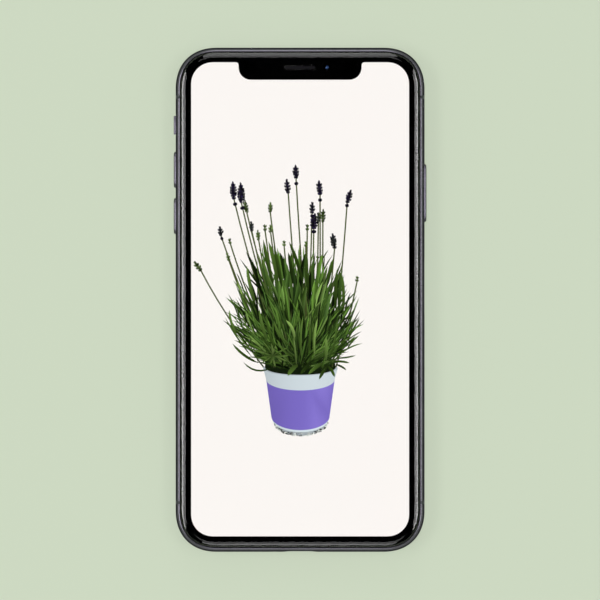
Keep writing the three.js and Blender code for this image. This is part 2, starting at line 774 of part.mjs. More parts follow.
// A strap along the end wall with an ear for each end screw.
function dockBracket() {
  const wall = wallGap - innerEnd;
  const ear = (x) =>
    cut(
      box(x - 1.3, x + 1.3, wall, wall + 1.5, dockTop, midHeight + 1.3),
      endSlab(x, midHeight, 1.35, 1.35, wall - 1, wall + 1.2),
    );
  const strapEnd = endScrewX + 1.3;
  return joined(
    box(-strapEnd, strapEnd, wall, wall + 2.7, dockTop, dockTop + sheetThickness),
    ear(-endScrewX),
    ear(endScrewX),
  );
}

function endScrew(x) {
  const seat = 0.95 - endFace;
  const face = seat - 0.6;
  const slot = (width, height) =>
    box(x - width / 2, x + width / 2, face - 1, face + 0.25, midHeight - height / 2, midHeight + height / 2);
  return cut(
    joined(
      endSlab(x, midHeight, 2 * screwRadius, 2 * screwRadius, face, 1.2 - innerEnd),
      endSlab(x, midHeight, 1.9, 1.9, face, seat),
    ),
    slot(1, 0.24),
    slot(0.24, 1),
  );
}

function dockPieces() {
  const dock = outlineOf([
    [-24, -67.8],
    [6, -67.8],
    [6, -53.5],
    [-28.5, -53.5],
    [-28.5, -61],
  ]);
  const speaker = cut(
    box(9.4, 29, -66.5, -42, chassisTop, frontLedge - 0.4),
    box(8, 11, -67, -60, chassisTop - 1, frontLedge),
  );
  assembly(
    "bottom_end",
    piece("dock_board", prism(dock, chassisTop, dockTop), finishes.circuitBoard),
    piece("port_shell", portShell(), finishes.bareSteel),
    piece("dock_bracket", dockBracket(), finishes.bareSteel),
    piece("loudspeaker", speaker, finishes.blackPlastic),
    piece("vibration_motor", box(-29.5, 3.4, -52.5, -41, chassisTop, frontLedge - 0.5), finishes.bareSteel),
    piece("bottom_microphone", block(-17.75, -65.8, 5.5, 3.6, dockTop, 4.6), finishes.bareSteel),
    piece("dock_flex", dockFlex(), finishes.flex),
    piece("bottom_screw_left", endScrew(-endScrewX), finishes.darkSteel),
    piece("bottom_screw_right", endScrew(endScrewX), finishes.darkSteel),
  );
}

bandPieces();
displayPieces();
sensorPieces();
backPieces();
cameraPieces();
batteryPieces();
boardPieces();
trayPieces();
controlPieces();
dockPieces();

export default phone;
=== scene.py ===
"""A smartphone with a notched screen, lying on its back. Its lit display shows a lavender in a pot.

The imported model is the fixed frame. Over it this script makes the phone's detailed outside, gives what
shows inside its finishes, and sets up a plain studio. The shape functions work in the frame's axes, in
millimetres.
"""

import bmesh
import bpy
import numpy as np
from bpy.props import FloatProperty, FloatVectorProperty, IntProperty, PointerProperty
from bpy.types import Operator, Panel, PropertyGroup
from mathutils.geometry import delaunay_2d_cdt
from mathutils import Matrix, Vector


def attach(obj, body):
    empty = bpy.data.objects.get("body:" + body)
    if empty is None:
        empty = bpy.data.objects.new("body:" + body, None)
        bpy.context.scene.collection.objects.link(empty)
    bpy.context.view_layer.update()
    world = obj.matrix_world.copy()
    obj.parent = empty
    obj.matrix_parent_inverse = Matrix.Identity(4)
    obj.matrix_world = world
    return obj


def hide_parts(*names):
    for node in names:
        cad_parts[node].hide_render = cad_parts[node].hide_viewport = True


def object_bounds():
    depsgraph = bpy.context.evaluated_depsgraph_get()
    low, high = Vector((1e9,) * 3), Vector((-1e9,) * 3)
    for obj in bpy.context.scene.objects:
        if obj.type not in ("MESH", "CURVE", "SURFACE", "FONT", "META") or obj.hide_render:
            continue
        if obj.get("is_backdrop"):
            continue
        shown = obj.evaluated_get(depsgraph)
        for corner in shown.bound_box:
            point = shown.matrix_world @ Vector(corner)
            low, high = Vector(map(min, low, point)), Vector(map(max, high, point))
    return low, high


bl_info = {
    "name": "Smartphone with a lavender picture",
    "version": (1, 0, 0),
    "blender": (4, 5, 0),
    "location": "3D View > Sidebar > Phone",
    "description": "Makes a notched smartphone piece by piece over its packed model",
    "category": "Object",
}

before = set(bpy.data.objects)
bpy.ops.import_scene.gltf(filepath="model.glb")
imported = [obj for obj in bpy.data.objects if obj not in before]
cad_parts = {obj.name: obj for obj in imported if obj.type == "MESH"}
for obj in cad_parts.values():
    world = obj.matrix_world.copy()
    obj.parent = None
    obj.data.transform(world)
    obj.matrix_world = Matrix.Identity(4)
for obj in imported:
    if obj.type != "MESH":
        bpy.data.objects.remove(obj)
CAD_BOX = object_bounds()

MM = 0.001

# The phone's outline and the heights of its layers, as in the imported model
HALF_WIDTH = 35.45
HALF_LENGTH = 71.8
CORNER_RADIUS = 12.0
CORNER_POWER = 2.28
CORNER_POINTS = 700
BACK_FACE = 0.9
FRONT_FACE = 8.6
MID_HEIGHT = 4.75
BAND_TOP = 8.05
BAND_FOOT = 1.45
FRONT_LEDGE = 6.7
BACK_LEDGE = 1.7
COVER_UNDER = 7.9
MASK_UNDER = 7.8
PANEL_UNDER = 7.0
RIM_INSET = 1.1
RIM_BEVEL = 0.18
POCKET_INSET = 1.2
GLASS_INSET = 1.4
FLAT_INSET = 2.9
INNER_WALL = 2.9
EDGE_DROP = 0.55
FACE_FLAT = 0.2
LEDGE_STEP = 0.01

# The lit area and what lies in the border above it
SCREEN_HALF = 31.06
SCREEN_TOP = 67.63
SCREEN_FOOT = -67.37
SCREEN_CORNER = 6.15
NOTCH_HALF = 17.45
NOTCH_DEPTH = 4.99
NOTCH_CORNER = 3.45
NOTCH_FILLET = 0.85
SENSOR_LINE = 66.1
FRONT_CAMERA = 7.75
SENSOR_WINDOW = 14.25

# Along the sides and on the back
BREAK_LOW = 57.25
BREAK_HIGH = 58.15
MUTE_Y = 49.7
VOLUME_UP_Y = 37.0
VOLUME_DOWN_Y = 23.85
SIDE_KEY_Y = 30.4
TRAY_Y = 3.8
ISLAND = (23.4, 54.2)
LENS_OFFSET = 6.2
PORT_MOUTH = -71.2


def srgb(red, green, blue):
    """A colour's linear values from its 0 to 255 display values."""
    shown = np.array([red, green, blue]) / 255
    linear = np.where(shown < 0.04045, shown / 12.92, ((shown + 0.055) / 1.055) ** 2.4)
    return tuple(float(part) for part in linear)


# ---- What a user would change ----


def length(name, description, default, **limits):
    return FloatProperty(
        name=name, description=description, default=default * MM, unit="LENGTH", precision=5, **limits
    )


def colour(name, description, default):
    return FloatVectorProperty(
        name=name, description=description, default=default, subtype="COLOR", min=0.0, max=1.0
    )


class PhoneSizes(PropertyGroup):
    """Small sizes of the outside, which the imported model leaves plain."""

    hole_round: length("Hole rounding", "Radius of the steel's edge round each hole", 0.12)
    key_proud: length("Key height", "How far the keys stand out of the band", 0.55)
    key_round: length("Key rounding", "Radius of a key's outer edge", 0.42)
    key_crown: length("Key crown", "How much a key's face bulges in its middle", 0.05)
    wire: length("Mesh wire", "Thickness of the earpiece mesh's wires", 0.07)
    wire_pitch: length("Mesh pitch", "Distance between the earpiece mesh's wires", 0.2)
    trim_round: length("Trim rounding", "Radius of the camera trim's edges", 0.22)
    corner_steps: IntProperty(
        name="Corner steps", description="Stations round each of the phone's corners", default=44, min=8
    )
    arc_steps: IntProperty(
        name="Face steps", description="Rows on each curved half of the band's face", default=24, min=6
    )


class PhoneColours(PropertyGroup):
    """Colours of the phone's materials."""

    steel: colour("Steel", "The band's dark coating", (0.146, 0.137, 0.169))
    plastic: colour("Antenna breaks", "The plastic between the band's lengths", (0.020, 0.022, 0.030))
    ink: colour("Border ink", "The print under the cover glass", (0.0012, 0.0012, 0.0014))
    back: colour("Back glass", "The tint behind the back glass", (0.022, 0.022, 0.026))
    coating: colour("Lens coating", "The sheen of the camera lenses", (0.012, 0.034, 0.100))
    copper: colour("Copper", "The charging coil's winding", (0.72, 0.30, 0.14))
    board: colour("Circuit board", "The solder mask", (0.010, 0.035, 0.028))
    lamp: colour("Flash", "The flash's diffuser", (0.80, 0.70, 0.46))


class PictureLook(PropertyGroup):
    """The picture of the plant on the display."""

    paper: colour("Paper", "The picture's background", srgb(252, 247, 243))
    leaf: colour("Leaf", "The fresh green of most leaves", srgb(70, 98, 36))
    shade: colour("Leaf in shade", "The darker green of the leaves behind", srgb(44, 68, 28))
    pale: colour("Pale leaf", "The grey green of old and of sunlit leaves", srgb(112, 134, 74))
    heart: colour("Plant's heart", "The dark between the leaves", srgb(17, 27, 10))
    petal: colour("Flower", "The dark violet flower heads", srgb(30, 26, 42))
    sleeve: colour("Pot sleeve", "The paper sleeve round the pot", srgb(122, 106, 194))
    pot: colour("Pot", "The pot's pale plastic", srgb(204, 215, 220))
    leaves: IntProperty(
        name="Leaves", description="Nine tenths of this number grow, at random", default=660, min=1
    )
    seed: IntProperty(name="Seed", description="Where the leaves' random lie starts", default=11)
    brightness: FloatProperty(
        name="Brightness", description="Strength of the display's light", default=1.122, min=0.0
    )


class StudioLook(PropertyGroup):
    """Floor, lights and camera."""

    floor: colour("Floor", "The plain floor's paint", (0.622, 0.700, 0.551))
    glow: FloatProperty(
        name="Floor glow", description="How far the floor lights itself", default=0.725, min=0.0
    )
    lights: FloatProperty(name="Lights", description="Strength of all the lights", default=1.0, min=0.0)
    lens: FloatProperty(
        name="Lens", description="Focal length in millimetres", default=600.0, subtype="DISTANCE_CAMERA"
    )
    view_width: length("View width", "Width of the picture at the phone's upper half", 170.85)


# The soft lights: the compass angle of their side, the angles from straight up that they span, half their
# extent across in degrees, and their radiance
LIGHTS = (
    (0, 1.9, 12, 4.5, 2.9),
    (0, 12, 22, 10, 4.2),
    (0, 22, 34, 17, 8.6),
    (180, 3.3, 14, 5, 2.6),
    (180, 14, 23, 10, 2.4),
    (180, 23, 43, 17, 8.4),
    (90, 4.6, 16, 4.5, 1.1),
    (90, 16, 80, 12, 2.0),
    (270, 3.3, 20, 5.5, 1.1),
    (270, 20, 38, 10, 2.8),
    (270, 68, 84, 12, 1.0),
)

# Where the camera aims, in metres: a hair beside the phone's middle, and where its view is view_width wide
VIEW_SHIFT = (-0.00003, -0.00007)
AIM_HEIGHT = 0.0063


# ---- Shapes ----


def outline_table():
    """The right half of the phone's outline, from the middle of the bottom end to that of the top end.

    A corner's point is its centre plus the radius times the cosine and sine of an angle, each raised to two
    over the corner's power. The outward direction has them raised to two minus that. Returns the running
    length and a row of x, y and that direction for each point.
    """
    angle = np.linspace(0, np.pi / 2, CORNER_POINTS)
    both = np.stack([np.cos(angle), np.sin(angle)], 1).clip(0)
    power = 2 / CORNER_POWER
    outward = both ** (2 - power)
    outward /= np.linalg.norm(outward, axis=1, keepdims=True)
    centre = np.array([HALF_WIDTH, HALF_LENGTH]) - CORNER_RADIUS
    corner = np.hstack([centre + CORNER_RADIUS * both**power, outward])
    lower = corner[::-1] * [1, -1, 1, -1]
    rows = np.vstack([[0, -HALF_LENGTH, 0, -1], lower, corner, [0, HALF_LENGTH, 0, 1]])
    steps = np.linalg.norm(np.diff(rows[:, :2], axis=0), axis=1)
    return np.concatenate([[0], np.cumsum(steps)]), rows


RUN, OUTLINE = outline_table()
HALF_ROUND = RUN[-1]
# Where the lower and the upper corner start and end
CORNERS = tuple(RUN[index] for index in (1, CORNER_POINTS, CORNER_POINTS + 1, 2 * CORNER_POINTS))


def around(run, inset, height):
    """Places on the phone's wall: run is the length along the outline from the middle of the bottom end, to
    the right where it is positive, inset the distance in from the outline, and height the z."""
    run = (np.asarray(run, float) + HALF_ROUND) % (2 * HALF_ROUND) - HALF_ROUND
    x, y, out_x, out_y = (np.interp(abs(run), RUN, column) for column in OUTLINE.T)
    side = np.where(run < 0, -1.0, 1.0)
    return np.stack(np.broadcast_arrays(side * (x - inset * out_x), y - inset * out_y, height), -1)


def run_at(y):
    """The run of a point on the right side, from its y."""
    return CORNERS[1] + y + HALF_LENGTH - CORNER_RADIUS


def stations(start, end, steps, straight=12.0):
    """Runs from start to end: close together round the corners, some millimetres apart on the straights."""
    marks = [np.linspace(CORNERS[k], CORNERS[k + 1], steps + 1) for k in (0, 2)]
    gaps = [(-CORNERS[0], CORNERS[0]), (CORNERS[1], CORNERS[2]), (CORNERS[3], 2 * HALF_ROUND - CORNERS[3])]
    marks += [np.linspace(a, b, int((b - a) / straight) + 2) for a, b in gaps]
    marks = np.concatenate(marks)
    marks = np.concatenate([-marks, marks, 2 * HALF_ROUND - marks, marks - 2 * HALF_ROUND])
    marks = marks[(marks > start + 1e-3) & (marks < end - 1e-3)]
    return np.unique(np.round(np.concatenate([[start], marks, [end]]), 6))


def full_round():
    """Runs once round the phone, without the first one again at the end."""
    steps = bpy.context.scene.phone_sizes.corner_steps
    return stations(-HALF_ROUND, HALF_ROUND, steps)[:-1]


class Pill:
    """A flat rectangle with round corners: a pill where the corner radius is half its height, and a circle
    where it is square as well."""

    def __init__(self, x, y, width, height, radius=None):
        self.centre = np.array([x, y], float)
        self.radius = min(width, height) / 2 if radius is None else radius
        self.core = np.array([width, height]) / 2 - self.radius

    def ring(self, grow=0.0, steps=8):
        """Its outline moved outwards by grow: four quarter circles round the corners of its core."""
        angle = np.linspace(0, np.pi / 2, steps + 1)
        quarter = np.stack([np.cos(angle), np.sin(angle)], 1) * (self.radius + grow)
        signs = np.array([[1, 1], [-1, 1], [-1, -1], [1, -1]])
        turned = [quarter, quarter[::-1], quarter, quarter[::-1]]
        ring = np.vstack([(q + self.core) * s for q, s in zip(turned, signs)])
        apart = np.linalg.norm(ring - np.roll(ring, 1, 0), axis=1) > 1e-6
        return ring[apart] + self.centre

    def away(self, points):
        """For each point, the direction from the core to it and its distance from the outline."""
        offset = points - self.centre
        offset = offset - np.clip(offset, -self.core, self.core)
        reach = np.linalg.norm(offset, axis=1)
        return offset / np.maximum(reach, 1e-9)[:, None], reach - self.radius


def flat_triangles(rings, lines=()):
    """Points and triangles of the flat region inside the first ring and outside the others. Points along
    lines are joined by edges of the triangles. Also returns the rings that each triangle lies in."""
    turned = []
    for ring in rings:
        x, y = ring.T
        area = np.sum(x * np.roll(y, -1) - y * np.roll(x, -1))
        turned.append(ring if area > 0 else ring[::-1])
    starts = np.cumsum([0] + [len(part) for part in (*turned, *lines)])
    faces = [list(range(a, b)) for a, b in zip(starts, starts[1 : len(rings) + 1])]
    firsts = [np.arange(a, b - 1) for a, b in zip(starts[len(rings) :], starts[len(rings) + 1 :])]
    edges = np.concatenate(firsts) if firsts else np.zeros(0, int)
    edges = np.stack([edges, edges + 1], 1).tolist()
    found = delaunay_2d_cdt(np.concatenate([*turned, *lines]).tolist(), edges, faces, 1, 1e-6, True)
    return np.array(found[0], float), np.array(found[2]), found[5]


def plate_triangles(rings, lines=()):
    """The same, with what lies in a hole left out."""
    points, triangles, owners = flat_triangles(rings, lines)
    return points, triangles[[owner == [0] for owner in owners]]


def border_edges(triangles):
    """The edges that only one triangle has."""
    edges = np.concatenate([triangles[:, [0, 1]], triangles[:, [1, 2]], triangles[:, [2, 0]]])
    _, first, count = np.unique(np.sort(edges, 1), axis=0, return_index=True, return_counts=True)
    return edges[first[count == 1]]


class Shell:
    """One piece's points and faces in millimetres, gathered part by part. mark is a part's material."""

    def __init__(self):
        self.points = []
        self.faces = []
        self.marks = []
        self.count = 0

    def add(self, points, faces, mark=0):
        points = np.asarray(points, float).reshape(-1, 3)
        faces = np.asarray(faces, int)
        self.points.append(points)
        self.faces.append(faces + self.count)
        self.marks.append(np.broadcast_to(mark, len(faces)))
        self.count += len(points)

    def grid(self, points, loop=(False, False), mark=0):
        """Four-sided faces between neighbours in a grid of points. A looped side is joined end to end."""
        index = np.arange(points.shape[0] * points.shape[1]).reshape(points.shape[:2])
        if loop[0]:
            index = np.vstack([index, index[:1]])
        if loop[1]:
            index = np.hstack([index, index[:, :1]])
        corners = (index[:-1, :-1], index[1:, :-1], index[1:, 1:], index[:-1, 1:])
        self.add(points, np.stack(corners, -1).reshape(-1, 4), mark)

    def levels(self, shape, levels, place, caps=(True, True), steps=8, mark=0):
        """A stack of a pill's outlines: each level is how far it grows and its depth, and place(points,
        depth) puts it. A cap closes the first and the last."""
        rings = [place(shape.ring(grow, steps), depth) for grow, depth in levels]
        self.grid(np.stack(rings), (False, True), mark)
        for wanted, (grow, depth) in zip(caps, (levels[0], levels[-1])):
            if wanted:
                points, triangles = plate_triangles([shape.ring(grow, steps)])
                self.add(place(points, depth), triangles, mark)

    def loop(self, shape, profile, place, steps=8, mark=0):
        """A closed profile of growths and depths carried round a pill's outline."""
        rings = [place(shape.ring(grow, steps), depth) for grow, depth in profile]
        self.grid(np.stack(rings), (True, True), mark)

    def block(self, low, high, mark=0):
        """A plain box from its lowest to its highest corner."""
        ends = np.array([low, high], float)
        pick = np.array([[i >> 2 & 1, i >> 1 & 1, i & 1] for i in range(8)])
        faces = [[0, 1, 3, 2], [4, 6, 7, 5], [0, 4, 5, 1], [2, 3, 7, 6], [0, 2, 6, 4], [1, 5, 7, 3]]
        self.add(ends[pick, [0, 1, 2]], faces, mark)

    def pierced(self, outline, holes, place, far, lines=(), edge=0.0, mark=0):
        """A thick sheet with holes. place(points, depth) puts flat points at a depth under its face, and
        far puts them on its back, with the same triangles on both. Each hole's edge is rounded over by a
        quarter circle of radius edge."""
        if edge:
            strips = [hole.ring(edge + 0.03) for hole in holes]
            lines = [*lines, *(np.vstack([strip, strip[:1]]) for strip in strips)]
        spots, triangles = plate_triangles([outline, *(hole.ring(edge) for hole in holes)], lines)
        border = border_edges(triangles)
        on_hole = np.zeros(len(spots), bool)
        inward = np.zeros_like(spots)
        on_border = np.zeros(len(spots), bool)
        on_border[border] = True
        for hole in holes:
            way, gap = hole.away(spots)
            here = on_border & (abs(gap - edge) < 0.01)
            on_hole |= here
            inward[here] = -way[here]
        turns = np.linspace(0, np.pi / 2, 5 if edge else 1)
        shifts = [(edge * np.sin(turn), edge * (1 - np.cos(turn))) for turn in turns]
        walls = [place(spots + inward * shift, depth) for shift, depth in shifts]
        walls.append(far(spots + inward * edge))
        self.add(walls[0], triangles, mark)
        self.add(walls[-1], triangles[:, ::-1], mark)
        around_hole = on_hole[border].all(1)
        for first, last in zip(walls, walls[1:]):
            self.strip(first, last, border[around_hole], mark)
        self.strip(walls[0], walls[-1], border[~around_hole], mark)

    def strip(self, first, last, edges, mark=0):
        """Faces from edges on one set of points to the same edges on another."""
        faces = np.hstack([edges, edges[:, ::-1] + len(first)])
        self.add(np.concatenate([first, last]), faces, mark)

    def mesh(self, name, sharp=32.0, weld=3e-7):
        """The mesh in metres: points that meet are joined, closed shells face outwards, and edges under the
        sharp angle are smooth."""
        sizes = np.concatenate([np.full(len(faces), faces.shape[1]) for faces in self.faces])
        corners = np.concatenate([faces.ravel() for faces in self.faces])
        used, corners = np.unique(corners, return_inverse=True)
        points = np.concatenate(self.points)[used] * MM
        mesh = bpy.data.meshes.new(name)
        mesh.vertices.add(len(points))
        mesh.vertices.foreach_set("co", points.ravel())
        mesh.loops.add(len(corners))
        mesh.loops.foreach_set("vertex_index", corners.ravel())
        mesh.polygons.add(len(sizes))
        mesh.polygons.foreach_set("loop_start", np.concatenate([[0], np.cumsum(sizes)[:-1]]))
        mesh.polygons.foreach_set("material_index", np.concatenate(self.marks))
        mesh.update(calc_edges=True)
        mesh.validate()
        work = bmesh.new()
        work.from_mesh(mesh)
        bmesh.ops.remove_doubles(work, verts=work.verts, dist=weld)
        bmesh.ops.recalc_face_normals(work, faces=work.faces)
        work.to_mesh(mesh)
        work.free()
        mesh.polygons.foreach_set("use_smooth", np.ones(len(mesh.polygons), bool))
        mesh.set_sharp_from_angle(angle=np.radians(sharp))
        return mesh


def upward(points, height):
    """Flat x and y at a height."""
    return np.column_stack([points, np.full(len(points), height)])


def sideways(side):
    """For flat y and z: their place at a distance from the phone's middle plane, on one side."""
    return lambda points, reach: np.column_stack([np.full(len(points), side * reach), points])


def endways(points, y):
    """Flat x and z at a y."""
    return np.column_stack([points[:, 0], np.full(len(points), y), points[:, 1]])


def quarter(radius, steps=5):
    """Growths and depths of a quarter circle that rounds an outer edge over: from the face to the wall."""
    angle = np.linspace(0, np.pi / 2, steps)
    return [(radius * (np.sin(a) - 1), radius * (1 - np.cos(a))) for a in angle]


def screen_ring(margin, steps=10):
    """The lit area moved outwards by margin: circular outer corners, and the notch with its small outer
    fillets and larger inner bends, as arcs round their centres."""
    half = SCREEN_HALF + margin
    top = SCREEN_TOP + margin
    foot = SCREEN_FOOT - margin
    radius = SCREEN_CORNER + margin
    notch = NOTCH_HALF - margin
    shelf = SCREEN_TOP - NOTCH_DEPTH + margin
    bend = NOTCH_CORNER - margin

    def arc(x, y, size, start, end):
        angle = np.radians(np.linspace(start, end, steps))
        return np.stack([x + size * np.cos(angle), y + size * np.sin(angle)], 1)

    right = np.vstack(
        [
            arc(half - radius, foot + radius, radius, -90, 0),
            arc(half - radius, top - radius, radius, 0, 90),
            arc(notch + NOTCH_FILLET, top - NOTCH_FILLET, NOTCH_FILLET, 90, 180),
            arc(notch - bend, shelf + bend, bend, 0, -90),
        ]
    )
    return np.vstack([right, right[::-1] * [-1, 1]])


# ---- Finishes ----


class Value:
    """One output of a node. Arithmetic on it adds Math nodes to its material."""

    def __init__(self, finish, socket):
        self.finish = finish
        self.socket = socket

    def maths(self, operation, first, second=0.0):
        return self.finish.node("ShaderNodeMath", {"operation": operation}, {0: first, 1: second})

    def __add__(self, other):
        return self.maths("ADD", self, other)

    def __radd__(self, other):
        return self.maths("ADD", other, self)

    def __sub__(self, other):
        return self.maths("SUBTRACT", self, other)

    def __rsub__(self, other):
        return self.maths("SUBTRACT", other, self)

    def __mul__(self, other):
        return self.maths("MULTIPLY", self, other)

    def __rmul__(self, other):
        return self.maths("MULTIPLY", other, self)

    def __gt__(self, other):
        return self.maths("GREATER_THAN", self, other)

    def __lt__(self, other):
        return self.maths("LESS_THAN", self, other)

    def __mod__(self, other):
        return self.maths("MODULO", self, other)

    def __pow__(self, other):
        return self.maths("POWER", self, other)

    def __abs__(self):
        return self.maths("ABSOLUTE", self)


class Finish:
    """A material under one Principled shader. Its patterns read Object coordinates, in metres."""

    def __init__(self, name, **sockets):
        self.material = bpy.data.materials.new(name)
        self.material.use_nodes = True
        self.tree = self.material.node_tree
        self.shader = self.tree.nodes["Principled BSDF"]
        self.place = self.node("ShaderNodeTexCoord", out="Object")
        self.set(**sockets)

    def node(self, kind, settings=None, values=None, out=0):
        """Adds a node: its settings come first, then values or links for its sockets. Gives one output."""
        node = self.tree.nodes.new(kind)
        for name, value in (settings or {}).items():
            if name == "stops":
                self.ramp(node, value)
            else:
                setattr(node, name, value)
        for name, value in (values or {}).items():
            self.feed(node.inputs[name], value)
        return Value(self, node.outputs[out])

    def ramp(self, node, stops):
        elements = node.color_ramp.elements
        while len(elements) < len(stops):
            elements.new(1.0)
        for element, (position, shade) in zip(elements, stops):
            element.position = position
            element.color = (*shade, 1.0)

    def feed(self, socket, value):
        if isinstance(value, Value):
            self.tree.links.new(value.socket, socket)
        elif socket.type == "RGBA" and len(value) == 3:
            socket.default_value = (*value, 1.0)
        else:
            socket.default_value = value

    def set(self, **sockets):
        """Feeds the shader's sockets, whose names are written with underscores."""
        for name, value in sockets.items():
            self.feed(self.shader.inputs[name.replace("_", " ")], value)
        return self

    def noise(self, scale, detail=2.0, stretch=(1, 1, 1), roughness=0.5):
        """Cloudy noise from 0 to 1 with that many bumps to the metre, drawn out by stretch."""
        place = self.node("ShaderNodeMapping", None, {"Vector": self.place, "Scale": tuple(stretch)})
        values = {"Vector": place, "Scale": scale, "Detail": detail, "Roughness": roughness}
        return self.node("ShaderNodeTexNoise", None, values, "Fac")

    def blend(self, factor, first, second):
        """A colour between two."""
        settings = {"data_type": "RGBA", "blend_type": "MIX"}
        return self.node("ShaderNodeMix", settings, {0: factor, 6: first, 7: second}, 2)

    def steps(self, value, *stops):
        """A value through a ramp of (position, brightness) stops."""
        shades = [(position, (shade,) * 3) for position, shade in stops]
        return self.node("ShaderNodeValToRGB", {"stops": shades}, {"Fac": value})

    def axes(self):
        """The x, y and z of the Object coordinates."""
        split = self.node("ShaderNodeSeparateXYZ", None, {"Vector": self.place}).socket.node
        return [Value(self, output) for output in split.outputs]

    def bump(self, height, distance, strength=1.0):
        """Feeds the shader's Normal from a height, whose 1 stands for distance metres."""
        values = {"Height": height, "Distance": distance, "Strength": strength}
        return self.set(Normal=self.node("ShaderNodeBump", None, values, "Normal"))


def scaled(shade, factor):
    return tuple(min(float(part) * factor, 1.0) for part in shade)


def steel_finish(name, shade, roughness, stretch=(1, 1, 1)):
    """Coated steel: fine polishing grain in roughness and bump, and a faint clouding of the coat. The coat
    is darker where it is seen at a low angle."""
    finish = Finish(name, Metallic=1.0, Specular_Tint=(0.12, 0.12, 0.12))
    grain = finish.noise(5200, 3.0, stretch)
    cloud = finish.noise(90, 3.0)
    finish.set(
        Base_Color=finish.blend(cloud, scaled(shade, 0.88), scaled(shade, 1.12)),
        Roughness=roughness + (grain - 0.5) * 0.16 + (cloud - 0.5) * 0.06,
    )
    return finish.bump(grain, 1.2e-6, 0.6)


def glass_finish(name):
    """Clear cover glass with faint smudges that only change its polish."""
    finish = Finish(name, Base_Color=(0.985, 0.99, 0.99), Transmission_Weight=1.0, IOR=1.6)
    smudge = finish.steps(finish.noise(60, 4.0, (1, 0.6, 1)), (0.45, 0.0), (0.75, 0.03))
    return finish.set(Roughness=smudge)


def ink_finish(name, shade):
    """The border print: dense black ink with a very fine tooth, and a darker window before each sensor."""
    finish = Finish(name, Specular_IOR_Level=0.0)
    x, y, _ = finish.axes()
    half = 1.7 * MM
    window = (abs(abs(x) - SENSOR_WINDOW * MM) < half) * (abs(y - SENSOR_LINE * MM) < half)
    tooth = finish.noise(9000, 2.0)
    return finish.set(
        Base_Color=finish.blend(window, shade, scaled(shade, 0.3)), Roughness=0.42 + tooth * 0.2
    )


def dark_glass_finish(name, shade):
    """Tinted back glass: a clear polished coat over a deep tint with a slow cloud in it."""
    finish = Finish(name, IOR=1.5, Coat_Weight=1.0, Coat_Roughness=0.02)
    cloud = finish.noise(30, 3.0)
    return finish.set(
        Base_Color=finish.blend(cloud, scaled(shade, 0.85), scaled(shade, 1.15)),
        Roughness=finish.steps(finish.noise(400, 3.0), (0.3, 0.16), (0.8, 0.24)),
    )


def plastic_finish(name, shade, roughness=0.5, grain=3000, gloss=0.5):
    """Moulded plastic with a fine grain."""
    finish = Finish(name, Specular_IOR_Level=gloss)
    fine = finish.noise(grain, 2.0)
    finish.set(
        Base_Color=finish.blend(finish.noise(120), scaled(shade, 0.8), scaled(shade, 1.2)),
        Roughness=roughness + (fine - 0.5) * 0.2,
    )
    return finish.bump(fine, 6e-6, 0.5)


def lens_finish(name, shade, coat=1.0):
    """Coated lens glass: dark and mirror-like, with a little dust."""
    finish = Finish(name, Coat_Weight=coat, Coat_Roughness=0.0, IOR=1.6)
    dust = finish.noise(700, 3.0)
    return finish.set(
        Base_Color=finish.blend(dust, scaled(shade, 0.75), scaled(shade, 1.25)),
        Roughness=finish.steps(dust, (0.4, 0.03), (0.8, 0.1)),
        Metallic=finish.steps(dust, (0.0, 0.85), (1.0, 0.75)),
    )


def winding_finish(name, shade):
    """Copper wire wound in rings about the coil's middle: a rounded turn every 0.45 mm, with painted shade in
    each groove.
    """
    finish = Finish(name, Metallic=1.0)
    coil_y, pitch = 0.002, 0.00045
    x, y, _ = finish.axes()
    radius = (x * x + (y - coil_y) * (y - coil_y)) ** 0.5
    turn = abs((radius % pitch) * 4444.0 - 1.0)  # 1 between two turns, 0 on top of one
    groove_and_shade = turn * turn
    # Painted shade: the copper darkens to a quarter of its colour in the grooves between turns
    finish.set(
        Base_Color=finish.blend(groove_and_shade, shade, scaled(shade, 0.25)), Roughness=0.32 + groove_and_shade * 0.4
    )
    return finish.bump(1 - groove_and_shade, 5e-5)


def pouch_finish(name):
    """The battery's laminated pouch: dark foil with soft crinkles."""
    finish = Finish(name)
    crinkle = finish.noise(140, 4.0, (1, 0.5, 1), 0.6)
    finish.set(
        Base_Color=finish.blend(crinkle, (0.018, 0.018, 0.020), (0.040, 0.040, 0.044)),
        Roughness=0.38 + crinkle * 0.25,
    )
    return finish.bump(crinkle, 1.5e-4, 0.7)


def board_finish(name, shade):
    """A circuit board: solder mask with raised tracks and small tinned pads in cells."""
    finish = Finish(name)
    cells = finish.node(
        "ShaderNodeTexVoronoi",
        {"feature": "F1", "distance": "CHEBYCHEV"},
        {"Vector": finish.place, "Scale": 900.0, "Randomness": 0.35},
        "Distance",
    )
    tracks = finish.node(
        "ShaderNodeTexVoronoi",
        {"feature": "DISTANCE_TO_EDGE", "distance": "EUCLIDEAN"},
        {"Vector": finish.place, "Scale": 420.0, "Randomness": 0.7},
        "Distance",
    )
    pad = cells < 0.16
    track = finish.steps(tracks, (0.04, 1.0), (0.09, 0.0))
    mask = finish.blend(track, shade, scaled(shade, 2.2))
    finish.set(
        Base_Color=finish.blend(pad, mask, (0.55, 0.50, 0.38)),
        Metallic=pad * 0.9,
        Roughness=0.45 - pad * 0.15,
    )
    return finish.bump(track + pad * 0.6, 2e-5)


def flex_finish(name):
    """A flexible circuit: brown film over copper tracks that run along it."""
    finish = Finish(name, Coat_Weight=0.4)
    x, _, _ = finish.axes()
    track = finish.steps(abs(((x * 2500.0) % 1.0) * 2.0 - 1.0), (0.45, 1.0), (0.6, 0.0))
    finish.set(
        Base_Color=finish.blend(track, (0.022, 0.011, 0.006), (0.085, 0.036, 0.014)),
        Roughness=0.5 - track * 0.12,
    )
    return finish.bump(track, 1.5e-5)


